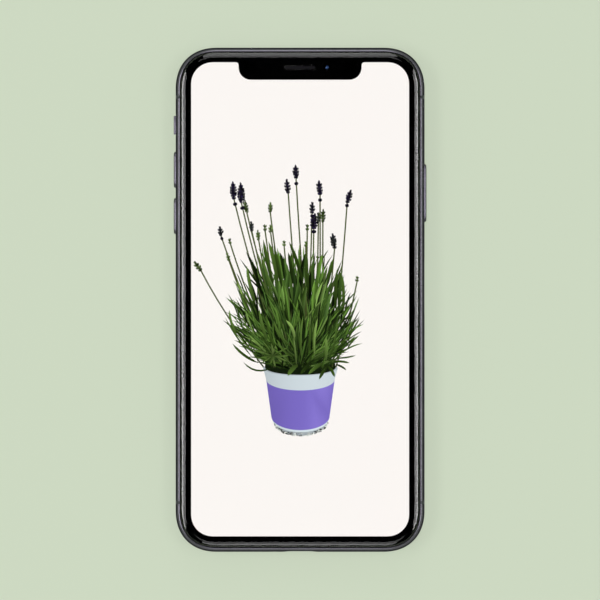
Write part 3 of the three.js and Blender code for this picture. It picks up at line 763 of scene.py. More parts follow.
def stamped_finish(name, shade):
    """Stamped sheet metal, brushed along the phone."""
    finish = Finish(name, Metallic=1.0)
    brush = finish.noise(2600, 3.0, (1, 0.04, 1))
    finish.set(
        Base_Color=finish.blend(brush, scaled(shade, 0.8), scaled(shade, 1.1)), Roughness=0.3 + brush * 0.22
    )
    return finish.bump(brush, 4e-6, 0.5)


def display_finish(name, brightness):
    """The lit display: each face's own light, through a slightly satin front."""
    finish = Finish(
        name, Base_Color=(0.002, 0.002, 0.002), Emission_Strength=brightness, Specular_IOR_Level=0.0
    )
    light = finish.node("ShaderNodeAttribute", {"attribute_name": "picture"}, None, "Color")
    return finish.set(Emission_Color=light, Roughness=0.35 + finish.noise(4000) * 0.08)


FINISHES = {}


def finish_named(name):
    """One of the phone's materials, made when it is first asked for."""
    if name not in FINISHES:
        colours = bpy.context.scene.phone_colours
        recipes = {
            "dark_steel": (steel_finish, colours.steel, 0.27),
            "key_steel": (steel_finish, scaled(colours.steel, 0.92), 0.27),
            "trim_steel": (steel_finish, scaled(colours.steel, 1.1), 0.24),
            "black_steel": (steel_finish, scaled(colours.steel, 0.22), 0.45),
            "bare_steel": (steel_finish, (0.46, 0.46, 0.47), 0.32, (1, 0.2, 1)),
            "stamped_steel": (stamped_finish, (0.50, 0.50, 0.51)),
            "aluminium": (stamped_finish, (0.36, 0.36, 0.38)),
            "contact_gold": (stamped_finish, (0.78, 0.56, 0.24)),
            "cover_glass": (glass_finish,),
            "back_glass": (dark_glass_finish, colours.back),
            "lens_glass": (lens_finish, colours.coating),
            "front_lens": (lens_finish, scaled(colours.coating, 1.3), 0.1),
            "border_ink": (ink_finish, colours.ink),
            "break_plastic": (plastic_finish, colours.plastic, 0.55),
            "black_plastic": (plastic_finish, (0.012, 0.012, 0.013), 0.5),
            "chip_epoxy": (plastic_finish, (0.016, 0.016, 0.018), 0.42, 5000),
            "rubber": (plastic_finish, (0.006, 0.006, 0.006), 0.8, 1800, 0.2),
            "lamp": (plastic_finish, colours.lamp, 0.25, 900),
            "winding": (winding_finish, colours.copper),
            "pouch": (pouch_finish,),
            "circuit_board": (board_finish, colours.board),
            "flex": (flex_finish,),
            "display": (display_finish, bpy.context.scene.plant_picture.brightness),
        }
        make, *settings = recipes[name]
        FINISHES[name] = make(name, *settings).material
    return FINISHES[name]


def put(name, shell, finishes, nodes, body="body", sharp=32.0):
    """Makes the piece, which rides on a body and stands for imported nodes. finishes is a name or several."""
    piece = bpy.data.objects.new(name, shell.mesh(name, sharp))
    bpy.context.scene.collection.objects.link(piece)
    for finish in [finishes] if isinstance(finishes, str) else finishes:
        piece.data.materials.append(finish_named(finish))
    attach(piece, body)
    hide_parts(*nodes)
    return piece


def coat(finish, *nodes):
    """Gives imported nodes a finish."""
    for name in nodes:
        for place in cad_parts[name].material_slots:
            place.material = finish_named(finish)


# ---- The band ----

# Heights of the close pairs of rows at the two ledges
LEDGE_ROWS = (
    BACK_LEDGE - LEDGE_STEP,
    BACK_LEDGE + LEDGE_STEP,
    FRONT_LEDGE - LEDGE_STEP,
    FRONT_LEDGE + LEDGE_STEP,
)


def face_inset(height):
    """How far the band's face lies in from the outline: a short flat at mid-height, and a quarter ellipse
    above and below it that ends at the rim."""
    share = ((abs(height - MID_HEIGHT) - FACE_FLAT) / (BAND_TOP - MID_HEIGHT - FACE_FLAT)).clip(0, 1)
    return RIM_INSET * (1 - np.sqrt(1 - share**2))


def band_rows(steps):
    """Heights of the band's rows: even in the ellipses' angle, with a close pair at each ledge."""
    angle = np.linspace(0, np.pi / 2, steps + 1)
    rise = FACE_FLAT + (BAND_TOP - MID_HEIGHT - FACE_FLAT) * np.sin(angle)
    bevels = [BAND_TOP - RIM_BEVEL, BAND_FOOT + RIM_BEVEL]
    rows = np.concatenate([MID_HEIGHT + rise, MID_HEIGHT - rise, bevels])
    rows = rows[np.abs(rows[:, None] - LEDGE_ROWS).min(1) > 3 * LEDGE_STEP]
    return np.unique(np.round(np.concatenate([rows, LEDGE_ROWS]), 6))


def band_back(points):
    """The band's inside behind its face: a steep chamfer at each rim, then a pocket wall and a ledge, and
    the inner wall between them."""
    run, height = points.T
    heights = [BAND_FOOT, BAND_FOOT + RIM_BEVEL, *LEDGE_ROWS, BAND_TOP - RIM_BEVEL, BAND_TOP]
    insets = [RIM_INSET, POCKET_INSET, POCKET_INSET, INNER_WALL]
    insets += insets[::-1]
    return around(run, np.interp(height, heights, insets), height)


def band_length(start, end, holes=()):
    """One length of the band between two runs. Its face is the outline moved in by face_inset, and holes
    are pills in run and height."""
    sizes = bpy.context.scene.phone_sizes
    runs = stations(start, end, sizes.corner_steps)
    rows = band_rows(sizes.arc_steps)

    def along(row):
        return np.column_stack([runs, np.full(len(runs), row)])

    def across(run):
        return np.column_stack([np.full(len(rows), run), rows])

    border = [along(rows[0]), across(runs[-1])[1:], along(rows[-1])[-2::-1], across(runs[0])[-2:0:-1]]
    shell = Shell()
    shell.pierced(
        np.vstack(border),
        holes,
        lambda points, depth: around(points[:, 0], face_inset(points[:, 1]) + depth, points[:, 1]),
        band_back,
        [along(row) for row in rows[1:-1]],
        sizes.hole_round / MM if holes else 0.0,
    )
    return shell


class PHONE_OT_band(Operator):
    """Make the band: four steel lengths with their holes, and the plastic breaks between them"""

    bl_idname = "phone.band"
    bl_label = "Band"

    def execute(self, context):
        low, high = run_at(-BREAK_LOW), run_at(BREAK_LOW)
        wide, narrow = run_at(-BREAK_HIGH), run_at(BREAK_HIGH)
        left = [
            Pill(-run_at(MUTE_Y), MID_HEIGHT, 5.7, 3.0, 0.4),
            Pill(-run_at(VOLUME_UP_Y), MID_HEIGHT, 10.4, 3.0),
            Pill(-run_at(VOLUME_DOWN_Y), MID_HEIGHT, 10.4, 3.0),
        ]
        right = [
            Pill(run_at(SIDE_KEY_Y), MID_HEIGHT, 16.6, 3.0),
            Pill(run_at(TRAY_Y), MID_HEIGHT, 16.4, 2.6),
        ]
        foot = [Pill(0, MID_HEIGHT, 9.5, 3.8), *(Pill(x, MID_HEIGHT, 2.1, 2.1) for x in (-7.3, 7.3))]
        grille = 12 + 2.3 * np.arange(6)
        foot += [Pill(x, MID_HEIGHT, 1.4, 1.4) for x in (*grille, *-grille)]
        lengths = {
            "left": band_length(-high, -low, left),
            "right": band_length(low, high, right),
            "top": band_length(narrow, 2 * HALF_ROUND - narrow),
            "bottom": band_length(-wide, wide, foot),
        }
        for word, shell in lengths.items():
            put(f"steel_{word}", shell, "dark_steel", [f"band_{word}"], sharp=26.0)
        breaks = {
            "break_top_left": (-narrow, -high),
            "break_top_right": (high, narrow),
            "break_bottom_left": (-low, -wide),
            "break_bottom_right": (wide, low),
        }
        for name, ends in breaks.items():
            put(name, band_length(*ends), "break_plastic", [f"antenna_{name}"])
        return {"FINISHED"}


# ---- The two glasses ----


def glass_shell(face, inner, opening, edge):
    """A glass as large as the phone: flat up to the last millimetre and a half, where a quarter ellipse
    drops to its edge. opening is the pill cut through it, whose outer edge is rounded over. A narrow flat
    strip beside each curve keeps the shading of the flat face even."""
    out = np.sign(face - inner)
    strip, chamfer = 0.03, 0.05
    angle = np.linspace(0, np.pi / 2, 15)
    insets = FLAT_INSET - (FLAT_INSET - GLASS_INSET) * np.sin(angle)
    heights = face - out * EDGE_DROP * (1 - np.cos(angle))
    insets = np.concatenate([[FLAT_INSET + strip], insets, [GLASS_INSET, GLASS_INSET + chamfer]])
    heights = np.concatenate([[face], heights, [inner + out * chamfer, inner]])
    runs = full_round()[:, None]
    shell = Shell()
    shell.grid(around(runs, insets[None], heights[None]), (True, False))
    for height, inset, grow in ((face, insets[0], edge + strip), (inner, insets[-1], 0.0)):
        points, triangles = plate_triangles([around(runs[:, 0], inset, 0)[:, :2], opening.ring(grow)])
        shell.add(upward(points, height), triangles)
    turns = np.linspace(0, np.pi / 2, 5)
    wall = [(edge * (1 - np.sin(turn)), face - out * edge * (1 - np.cos(turn))) for turn in turns]
    shell.levels(opening, [(edge + strip, face), *wall, (0.0, inner)], upward, (False, False))
    return shell


class PHONE_OT_glasses(Operator):
    """Make the cover glass and the back glass"""

    bl_idname = "phone.glasses"
    bl_label = "Glasses"

    def execute(self, context):
        slot = Pill(0, SENSOR_LINE, 8.9, 1.15)
        cover = glass_shell(FRONT_FACE, COVER_UNDER, slot, 0.05)
        put("front_glass", cover, "cover_glass", ["cover_glass"])
        island = Pill(*ISLAND, 11.6, 23.4)
        back = glass_shell(BACK_FACE, BACK_LEDGE, island, 0.06)
        put("rear_glass", back, "back_glass", ["back_glass"])
        return {"FINISHED"}


# ---- The display and its picture ----

# Flower heads, placed after the photograph: x and y of the tip, length, lean to the right in
# degrees, width, where the stem leaves the pot, and how dark it is, from a green bud (0) to a flower (1)
HEADS = (
    (-19.2, 33.8, 5.2, -4, 1.55, -4.6, 1.0),
    (-16.9, 33.4, 5.9, -2, 1.75, -3.6, 1.0),
    (-3.9, 34.5, 4.3, -7, 1.25, 0.8, 0.95),
    (-1.3, 38.5, 4.0, -2, 1.45, 2.6, 1.0),
    (5.3, 34.1, 4.3, -5, 1.45, 5.8, 1.0),
    (14.5, 31.4, 4.0, 16, 1.35, 9.2, 1.0),
    (4.2, 24.7, 4.6, 4, 1.85, 3.4, 1.0),
    (3.5, 27.9, 3.3, 2, 1.2, 2.0, 0.9),
    (5.2, 25.0, 2.8, 0, 1.0, 4.4, 0.6),
    (-22.9, 21.0, 2.9, -8, 1.1, -7.0, 0.85),
    (-13.9, 22.4, 2.9, -3, 0.95, -3.2, 0.8),
    (9.2, 19.0, 4.4, -8, 1.35, 6.2, 0.8),
    (-15.8, 28.4, 3.6, -10, 1.0, -2.4, 0.25),
    (6.6, 25.9, 3.8, 2, 1.05, 6.4, 0.3),
    (-8.4, 27.9, 3.0, 2, 0.95, -1.8, 0.1),
    (-8.4, 21.4, 2.2, 0, 0.8, -2.6, 0.0),
    (-10.1, 21.6, 2.1, -4, 0.7, -3.6, 0.1),
    (-12.1, 19.9, 2.9, -6, 0.85, -4.2, 0.0),
    (-20.2, 17.6, 1.8, -12, 0.6, -6.2, 0.0),
    (-20.8, 13.4, 2.4, -14, 0.75, -7.4, 0.0),
    (-4.6, 17.0, 1.8, -2, 0.65, -0.8, 0.0),
    (2.1, 21.6, 2.0, 2, 0.75, 1.6, 0.1),
    (1.7, 16.7, 1.6, 3, 0.7, 1.2, 0.0),
    (5.0, 12.8, 1.3, 0, 0.6, 3.2, 0.0),
    (16.3, 6.8, 1.7, 4, 0.7, 10.2, 0.1),
    (-30.2, 11.0, 3.4, -36, 1.2, -10.4, 0.2),
)
LONE_WHORLS = (0, 1, 3, 4, 5, 6, 7, 9)  # heads with one more whorl of flowers lower on the stem
NEAR_STEMS = (3, 5, 7, 11, 12, 14)  # heads whose stems also cross the leaves at the back

# Leaves in front, placed in the same way: tip, foot, bend to the left as a share of the length, half width,
# and brightness
FRONT_LEAVES = (
    (-10.5, 17.2, -7.4, 3.6, 0.02, 0.56, 0.85),
    (-9.0, 16.6, -6.3, 4.4, -0.03, 0.6, 1.0),
    (-7.5, 15.4, -5.2, 3.0, -0.02, 0.5, 0.75),
    (-15.2, 9.6, -12.6, -1.6, 0.03, 0.5, 1.05),
    (-3.2, 16.6, 0.7, 4.6, -0.04, 0.5, 0.7),
    (2.0, 13.2, 2.4, 2.0, 0.03, 0.46, 0.8),
    (10.6, 9.0, 10.2, -3.4, 0.03, 0.5, 0.8),
    (12.0, 7.0, 12.2, -4.0, -0.03, 0.44, 0.95),
    (-7.4, -6.0, -2.2, -13.6, 0.13, 0.34, 1.0),
    (-4.0, -5.8, -1.6, -11.4, -0.14, 0.42, 1.35),
    (-6.5, -11.4, -2.0, -16.4, 0.12, 0.32, 1.0),
    (0.9, -4.4, 0.4, -16.9, 0.05, 0.3, 1.05),
    (5.0, -5.2, 4.2, -16.4, 0.06, 0.34, 1.3),
    (2.6, -6.4, 2.2, -15.6, -0.05, 0.34, 0.9),
    (7.4, -10.6, 7.4, -17.6, 0.0, 0.46, 1.15),
    (10.6, -6.0, 8.0, -17.2, -0.06, 0.32, 0.95),
    (-9.6, -4.2, -7.0, -14.6, 0.05, 0.36, 0.9),
    (-11.7, -2.4, -9.2, -12.2, 0.04, 0.42, 1.05),
    (-16.2, -17.7, -8.2, -19.4, 0.24, 0.26, 0.8),
    (-19.3, -12.4, -11.8, -18.0, 0.09, 0.38, 0.85),
    (-21.4, -5.0, -13.6, -16.4, 0.03, 0.24, 0.95),
    (-20.2, -2.8, -17.8, -10.4, 0.08, 0.36, 1.1),
    (-3.5, -21.7, -0.5, -18.4, -0.1, 0.62, 1.0),
    (0.1, -21.2, 3.5, -17.9, -0.06, 0.5, 0.6),
    (2.3, -21.2, 6.7, -17.8, -0.05, 0.5, 1.0),
    (5.4, -22.7, 8.0, -18.6, -0.05, 0.46, 0.72),
    (9.8, -22.0, 7.8, -18.8, 0.1, 0.44, 0.85),
    (13.2, -20.1, 10.0, -18.4, 0.1, 0.28, 0.7),
    (14.1, -18.0, 9.4, -17.6, 0.06, 0.32, 0.85),
    (15.9, -15.8, 10.2, -16.6, -0.05, 0.24, 0.9),
    (17.8, -12.4, 9.6, -17.4, 0.12, 0.22, 1.0),
    (16.8, -10.2, 13.4, -14.2, 0.1, 0.26, 0.95),
    (15.6, -6.4, 13.8, -12.6, 0.1, 0.26, 0.9),
)
# The rest of the plant's layout, placed in the same way
STAR = (-7.9, -15.9)  # the middle of a pale rosette that faces the viewer
CROWN = (0.0, -19.2)  # where the plant leaves the pot
LEAN_STOPS = (-92, -84, -57, -44, -25, 0, 23, 35, 68, 92)  # degrees from upright
REACH_STOPS = (10, 16, 27, 30, 39, 36, 34, 29, 19, 11)  # how far the leaves reach that way

# The pot, from its rim down: half width, height of its sides, and how far its front edge hangs below them
POT_LEVELS = (
    (10.6, -19.5, 2.1),
    (9.75, -22.7, 3.1),
    (8.3, -33.1, 4.0),
    (8.1, -33.7, 4.0),
    (7.5, -34.8, 3.9),
)
POT_MIDDLE = 0.1


class Blades:
    """Flat leaf shapes: a spine bent from foot to tip over a middle point, and a half width along it.

    The half width is width times (1 minus the distance from mid-length raised to sharp) raised to full;
    full 0 gives a strip of even width. shades are the colours at the foot's left and right and the tip's
    left and right.
    """

    STEPS = 7

    def __init__(self):
        self.parts = []

    def add(self, foot, middle, tip, width, sharp, full, shades):
        foot = np.atleast_2d(np.asarray(foot, float))
        count = len(foot)
        columns = [foot, np.broadcast_to(middle, (count, 2)), np.broadcast_to(tip, (count, 2))]
        columns += [np.broadcast_to(np.asarray(v, float), count)[:, None] for v in (width, sharp, full)]
        columns.append(np.broadcast_to(np.asarray(shades, float), (count, 4, 3)).reshape(count, 12))
        self.parts.append(np.hstack(columns))

    def table(self):
        return np.vstack(self.parts)

    def spine(self, rows, t):
        """Points at t on the spine, its three points' quadratic curve, and the direction to its left."""
        foot, middle, tip = rows[..., 0:2], rows[..., 2:4], rows[..., 4:6]
        t = t[..., None]
        point = foot * (1 - t) ** 2 + middle * 2 * t * (1 - t) + tip * t**2
        along = (middle - foot) * (1 - t) + (tip - middle) * t
        along /= np.maximum(np.linalg.norm(along, axis=-1, keepdims=True), 1e-9)
        return point, np.stack([-along[..., 1], along[..., 0]], -1)

    def outlines(self):
        """Every blade's outline, up its right side and down its left."""
        rows = self.table()[:, None]
        t = np.broadcast_to(np.linspace(0, 1, self.STEPS), (len(rows), self.STEPS))
        point, left = self.spine(rows, t)
        width, sharp, full = rows[..., 6], rows[..., 7], rows[..., 8]
        half = width * np.maximum(1 - abs(2 * t - 1) ** sharp, 0.001) ** full
        offset = left * half[..., None]
        return np.concatenate([point - offset, (point + offset)[:, ::-1]], 1)

    def shades(self, owner, points):
        """The colour of blade owner at each point: its corner colours, mixed along and across it."""
        rows = self.table()[owner]
        chord = rows[:, 4:6] - rows[:, 0:2]
        t = (np.sum((points - rows[:, 0:2]) * chord, 1) / np.sum(chord**2, 1).clip(1e-9)).clip(0, 1)
        centre, left = self.spine(rows, t)
        across = (np.sum((points - centre) * left, 1) / rows[:, 6].clip(1e-6)).clip(-1, 1)
        corner = rows[:, 9:].reshape(-1, 2, 2, 3)
        side = (0.5 - across / 2)[:, None]
        ends = corner[:, :, 0] * (1 - side[..., None]) + corner[:, :, 1] * side[..., None]
        return ends[:, 0] * (1 - t[:, None]) + ends[:, 1] * t[:, None]


def shown(linear):
    """A property's colour as the eye sees its steps, in which the picture's shades are mixed."""
    return np.array(linear[:]) ** (1 / 2.2)


def heading(lean):
    """The direction of each lean, in radians to the right of upright."""
    return np.stack([np.sin(lean), np.cos(lean)], 1)


def mixed(first, second, share):
    share = np.asarray(share)[..., None]
    return np.asarray(first) * (1 - share) + np.asarray(second) * share


def two_sided(shade, rng, strength=0.38):
    """Four corner colours for each blade: one side of the midrib lighter, the tip lighter than the foot."""
    tilt = rng.choice([-1, 1], len(shade)) * rng.uniform(0.3, 1, len(shade)) * strength
    gain = np.stack([1 + tilt, 1 - tilt, 1 + tilt, 1 - tilt], 1) * [0.66, 0.66, 1.12, 1.12]
    return shade[:, None] * gain[..., None]


def grow_leaves(blades, look, rng, count, near, far, spread, widths, brightness):
    """Leaves that fan out of the crown. Each one's tip lies at a random lean and a share, from near to far,
    of how far the plant reaches that way. It stands more upright than its lean, unless its foot would then
    hang in the air, and bends outwards. The far ones come first, so the near ones lie over them."""
    lean = rng.uniform(-1, 1, count)
    lean = np.sign(lean) * abs(lean) ** 0.95 * spread
    share = np.sort(np.sqrt(rng.uniform(near**2, far**2, count)))[::-1]
    reach = np.interp(lean, LEAN_STOPS, REACH_STOPS) * share
    size = np.minimum(rng.uniform(8, 17, count), reach * 0.95)
    way = np.radians(lean)
    tip = np.array(CROWN) + heading(way) * reach[:, None]
    upright = rng.uniform(0.4, 0.95, count) + 0.25 * (abs(lean) / 90) ** 2
    own = heading(np.radians(lean * upright + rng.normal(0, 7, count)))
    foot = tip - own * size[:, None] - CROWN
    within = np.interp(np.degrees(np.arctan2(foot[:, 0], foot[:, 1])), LEAN_STOPS, REACH_STOPS) * 0.8
    loose = np.linalg.norm(foot, axis=1) > within
    own[loose] = heading(way)[loose]
    foot = tip - own * size[:, None]
    foot[:, 1] = np.maximum(foot[:, 1], CROWN[1] - 0.6)
    beside = np.stack([own[:, 1], -own[:, 0]], 1)
    bend = rng.normal(0, 0.05, count) + 0.06 * np.sign(lean)
    middle = (foot + tip) / 2 - beside * (bend * size)[:, None]
    shade = mixed(shown(look.shade), shown(look.leaf), rng.beta(2.2, 1.4, count))
    shade = mixed(shade, shown(look.pale), (rng.random(count) - 0.72).clip(0) * 2.4)
    deep = np.where(rng.random(count) < 0.27, rng.uniform(0.24, 0.58, count), 1.0)
    shade = shade * (brightness * deep * np.exp(rng.normal(0.05, 0.22, count))).clip(0.2, 1.4)[:, None]
    low = ((tip[:, 1] + 20) / 12).clip(0, 1)[:, None]
    shade = shade * (0.66 + 0.34 * low)
    blades.add(foot, middle, tip, rng.uniform(*widths, count), 2.6, 0.5, two_sided(shade, rng))


def grow_stem(blades, look, head):
    """A stem from the crown to a flower head's foot, straighter towards its top."""
    tip_x, tip_y, size, lean, _, root, _ = head
    turn = np.radians(lean)
    top = np.array([tip_x - np.sin(turn) * size, tip_y - np.cos(turn) * size])
    foot = np.array([root, CROWN[1]])
    middle = foot + (top - foot) * 0.55 + [0.09 * (top[0] - foot[0]), 0]
    green = mixed(shown(look.leaf), shown(look.pale), 0.4) * [1.0, 0.88, 1.0]
    shade = np.stack([green * 0.8, green * 0.55, green * 1.05, green * 0.75])
    blades.add(foot, middle, top, 0.2, 2.0, 0.0, shade)
    return top, (top - middle) / np.linalg.norm(top - middle)


def grow_head(blades, look, rng, head, foot):
    """A flower head: a dark spindle, and over it whorls of small round buds that stand out at its sides."""
    tip_x, tip_y, size, _, width, _, dark = head
    way = np.array([tip_x, tip_y]) - foot
    way /= np.linalg.norm(way)
    side = np.array([way[1], -way[0]])
    bud = mixed(shown(look.leaf), shown(look.pale), 0.5)
    petal = mixed(bud, shown(look.petal), dark)
    core = np.stack([petal * 0.8, petal * 0.6, petal, petal * 0.8])
    end = foot + way * size
    blades.add(foot - way * 0.1, (foot + end) / 2, end, width * 0.33, 2.0, 0.45, core)
    tiers = int(size / 0.72) if size > 1.2 else 0
    for tier in range(tiers):
        level = (tier + 0.4) / tiers
        plump = width * max(1 - abs(2 * level - 0.85) ** 2.6, 0.2)
        spots = np.array([-0.46, 0.46, 0.1, -0.15])[: 2 if plump < 0.7 else 4] * plump
        centre = foot + way * (level * size) + side * spots[:, None]
        centre = centre + rng.normal(0, 0.05, centre.shape)
        fan = way + side * (spots / width * 1.2)[:, None]
        shade = petal * rng.normal(0.95, 0.22, len(spots)).clip(0.5, 1.5)[:, None]
        lit = np.where((rng.random(len(spots)) < 0.22)[:, None], shade * [1.5, 1.4, 1.75], shade)
        corners = np.stack([shade * 0.6, shade * 0.5, lit * 1.2, lit * 0.9], 1)
        reach = fan * (0.32 + 0.12 * rng.random(len(spots)))[:, None]
        blades.add(centre - reach, centre, centre + reach, 0.1 + plump * 0.13, 2, 0.5, corners)


def grow_plant(look, rng):
    """Every blade of the plant, the furthest back first."""
    blades = Blades()
    count = look.leaves
    heads = np.array(HEADS)
    tops = [grow_stem(blades, look, head) for head in heads]
    grow_leaves(blades, look, rng, count // 6, 0.72, 1.0, 62, (0.15, 0.26), 0.9)
    for index in NEAR_STEMS:
        tops[index] = grow_stem(blades, look, heads[index])
    for head, (foot, _) in zip(heads, tops):
        grow_head(blades, look, rng, head, foot)
    for index in LONE_WHORLS:
        foot, way = tops[index]
        drop = 1.9 if index < 5 else 1.2
        spot = foot - way * drop
        small = (*(spot + way), 1.0, 0, heads[index][4] * 1.2, 0, 1.0)
        grow_head(blades, look, rng, small, spot)
    grow_leaves(blades, look, rng, count // 3, 0.4, 0.9, 86, (0.15, 0.28), 0.92)
    grow_leaves(blades, look, rng, count // 16, 0.66, 0.95, 26, (0.4, 0.58), 1.05)
    grow_leaves(blades, look, rng, count // 3, 0.22, 0.68, 88, (0.16, 0.3), 1.0)
    front_leaves(blades, look, rng)
    grit(blades, rng)
    return blades


def front_leaves(blades, look, rng):
    """The rosette, and the leaves that lie in front of all others or hang over the pot's rim."""
    count = 11
    turn = np.linspace(0.3, 2 * np.pi + 0.1, count) + rng.normal(0, 0.12, count)
    size = rng.uniform(3.2, 6.0, count) * np.where(np.cos(turn) < -0.5, 0.75, 1)
    way = np.stack([np.sin(turn), 0.8 * np.cos(turn)], 1)
    middle = np.array(STAR) + way * size[:, None] * 0.5 + rng.normal(0, 0.25, (count, 2))
    shade = mixed(shown(look.leaf), shown(look.pale), rng.uniform(0.2, 0.8, count)) * 0.92
    tips = np.array(STAR) + way * size[:, None]
    blades.add(np.broadcast_to(STAR, (count, 2)), middle, tips, 0.27, 2.0, 0.6, two_sided(shade, rng))
    tip, foot, others = np.split(np.array(FRONT_LEAVES), [2, 4], 1)
    bend, width, tone = others.T
    along = tip - foot
    left = np.stack([-along[:, 1], along[:, 0]], 1)
    middle = (tip + foot) / 2 + left * bend[:, None] * 1.6
    shade = mixed(shown(look.leaf), shown(look.pale), (tone - 0.9).clip(0, 1) * 1.4) * tone[:, None]
    blades.add(foot, middle, tip, width, 2.4, 0.6, two_sided(shade, rng, 0.18))


def grit(blades, rng):
    """Specks of soil and grit that cling to the pot's foot."""
    count = 190
    turn = rng.uniform(-1.3, 1.3, count)
    level = np.sqrt(rng.uniform(0, 1, count))
    width, side, hang = (np.interp(level, [0, 1], [POT_LEVELS[3][k], POT_LEVELS[4][k]]) for k in range(3))
    spot = np.stack([0.2 + width * np.sin(turn), side - 0.12 - hang * np.cos(turn)], 1)
    size = rng.uniform(0.1, 0.34, count)
    lean = rng.uniform(0, np.pi, count)
    way = np.stack([np.cos(lean), np.sin(lean)], 1) * size[:, None]
    tone = rng.choice([0.1, 0.22, 0.5, 0.8, 0.93], count, p=[0.27, 0.18, 0.15, 0.2, 0.2])
    shade = tone[:, None] * [0.98, 1.0, 0.97]
    blades.add(spot - way, spot, spot + way, size * 0.6, 2.0, 0.5, np.repeat(shade[:, None], 4, 1))


def pot_arc(level, count=25):
    """The front half of a ring of the pot, from left to right: an ellipse's lower half."""
    width, side, hang = level
    turn = np.linspace(-np.pi / 2, np.pi / 2, count)
    return np.stack([POT_MIDDLE + width * np.sin(turn), side - hang * np.cos(turn)], 1)


def pot_rings():
    """Outlines of the pot from its foot to its rim: each reaches from an arc up to the rim, and the later
    ones cover the upper part of the earlier ones. Then the rim's ellipse, and the dark heart behind the
    leaves."""
    arcs = [pot_arc(level) for level in POT_LEVELS]
    bands = []
    for number in range(len(arcs) - 1, 0, -1):
        ends = np.array([(arc[-1], arc[0]) for arc in arcs[:number]])
        bands.append(np.vstack([arcs[number], ends[::-1, 0], ends[:, 1]]))
    lip = np.vstack([arcs[0], arcs[0][-2:0:-1] * [1, -1] + [0, 2 * POT_LEVELS[0][1]]])
    lean = np.radians(np.linspace(-80, 80, 60))
    reach = np.interp(np.degrees(lean), LEAN_STOPS, REACH_STOPS) * (0.62 + 0.07 * np.sin(lean * 23))
    heart = np.array(CROWN) + heading(lean) * reach[:, None]
    soil = np.stack([arcs[0][::-1, 0] * 0.95, arcs[0][::-1, 1] + 0.22], 1)
    heart = np.vstack([heart, soil])
    return [*bands, lip, heart]


def pot_shades(kind, points, look):
    """The colour of the pot's outline number kind at each point: lit from the right, darkest at the left
    side, with a soft sheen on the sleeve's right. The last two kinds are the lip and the plant's heart."""
    pale = shown(look.pot)
    plain = [pale * 0.78, pale * 1.04, shown(look.sleeve), pale, pale * 0.9, shown(look.heart)]
    base = np.array(plain)[kind]
    half = np.interp(points[:, 1], [-39, -22], [7.6, 10.3])
    turn = np.arcsin(((points[:, 0] - POT_MIDDLE) / half).clip(-1, 1))
    light = 0.93 + 0.09 * np.cos(turn - 0.5)
    sheen = np.where(kind == 2, 0.05 * np.exp(-(((turn - 0.7) / 0.4) ** 2)), 0.0)
    return np.where((kind == 5)[:, None], base, base * light[:, None] + sheen[:, None])


def display_shell(look):
    """The display panel, its front cut along the picture's outlines, and a function for its colours."""
    rng = np.random.default_rng(look.seed)
    blades = grow_plant(look, rng)
    outline = screen_ring(0.2)
    pots = pot_rings()
    rings = [outline, *pots, *blades.outlines()]
    points, triangles, owners = flat_triangles(rings)
    lit = [0 in lies_in for lies_in in owners]
    owner = np.array([max(lies_in, default=0) for lies_in in owners])
    shell = Shell()
    shell.add(upward(points, MASK_UNDER), triangles[lit], owner[lit])
    under, back = plate_triangles([outline])
    shell.add(upward(under, PANEL_UNDER), back[:, ::-1])
    shell.grid(np.stack([upward(outline, PANEL_UNDER), upward(outline, MASK_UNDER)]), (False, True))

    def shades(owner, corners):
        found = np.empty((len(owner), 3))
        found[:] = shown(look.paper)
        potted = (owner > 0) & (owner <= len(pots))
        found[potted] = pot_shades(owner[potted] - 1, corners[potted], look)
        grown = owner > len(pots)
        found[grown] = blades.shades(owner[grown] - 1 - len(pots), corners[grown])
        return found.clip(0, 1) ** 2.2

    return shell, shades


def values_of(items, name, kind=int, width=1):
    """One property of all of a mesh's items, as an array."""
    found = np.zeros(len(items) * width, kind)
    items.foreach_get(name, found)
    return found


def paint_picture(mesh, shades):
    """Colours each face's corners. Until then a face's material number is the number of its outline."""
    owner = values_of(mesh.polygons, "material_index")
    sizes = values_of(mesh.polygons, "loop_total")
    places = values_of(mesh.vertices, "co", float, 3).reshape(-1, 3)
    corners = places[values_of(mesh.loops, "vertex_index")] / MM
    mesh.polygons.foreach_set("material_index", np.zeros(len(owner), int))
    light = shades(np.repeat(owner, sizes), corners[:, :2])
    attribute = mesh.color_attributes.new("picture", "FLOAT_COLOR", "CORNER")
    attribute.data.foreach_set("color", np.column_stack([light, np.ones(len(light))]).ravel())


class PHONE_OT_display(Operator):
    """Make the lit panel with its picture, the black print over its border, and the gasket"""

    bl_idname = "phone.display"
    bl_label = "Display"

    def execute(self, context):
        shell, shades = display_shell(context.scene.plant_picture)
        panel = put("lit_panel", shell, "display", ["display_panel"])
        paint_picture(panel.data, shades)

        mask = Shell()
        edge = around(full_round(), GLASS_INSET + 0.1, 0)[:, :2]
        slot = Pill(0, SENSOR_LINE, 8.4, 0.65)
        eye = Pill(FRONT_CAMERA, SENSOR_LINE, 2.2, 2.2)
        points, triangles = plate_triangles([edge, screen_ring(-0.05), slot.ring(), eye.ring(0.0, 12)])
        border = border_edges(triangles)
        # Its face lies a hair inside the glass, as printed ink has no air gap that could mirror the lights
        bite = 0.005
        front, back = upward(points, COVER_UNDER + bite), upward(points, MASK_UNDER + bite)
        mask.add(front, triangles)
        mask.add(back, triangles[:, ::-1])
        mask.strip(front, back, border)
        put("border_print", mask, "border_ink", ["border_mask"])

        gasket = Shell()
        profile = np.array([(1.22, 6.7), (1.22, 7.94), (1.25, 8.0), (1.33, 8.0), (1.36, 7.94), (1.36, 6.7)])
        gasket.grid(around(full_round()[:, None], profile[None, :, 0], profile[None, :, 1]), (True, True))
        put("front_gasket", gasket, "rubber", ["display_gasket"])
        return {"FINISHED"}


# ---- Earpiece and front camera ----


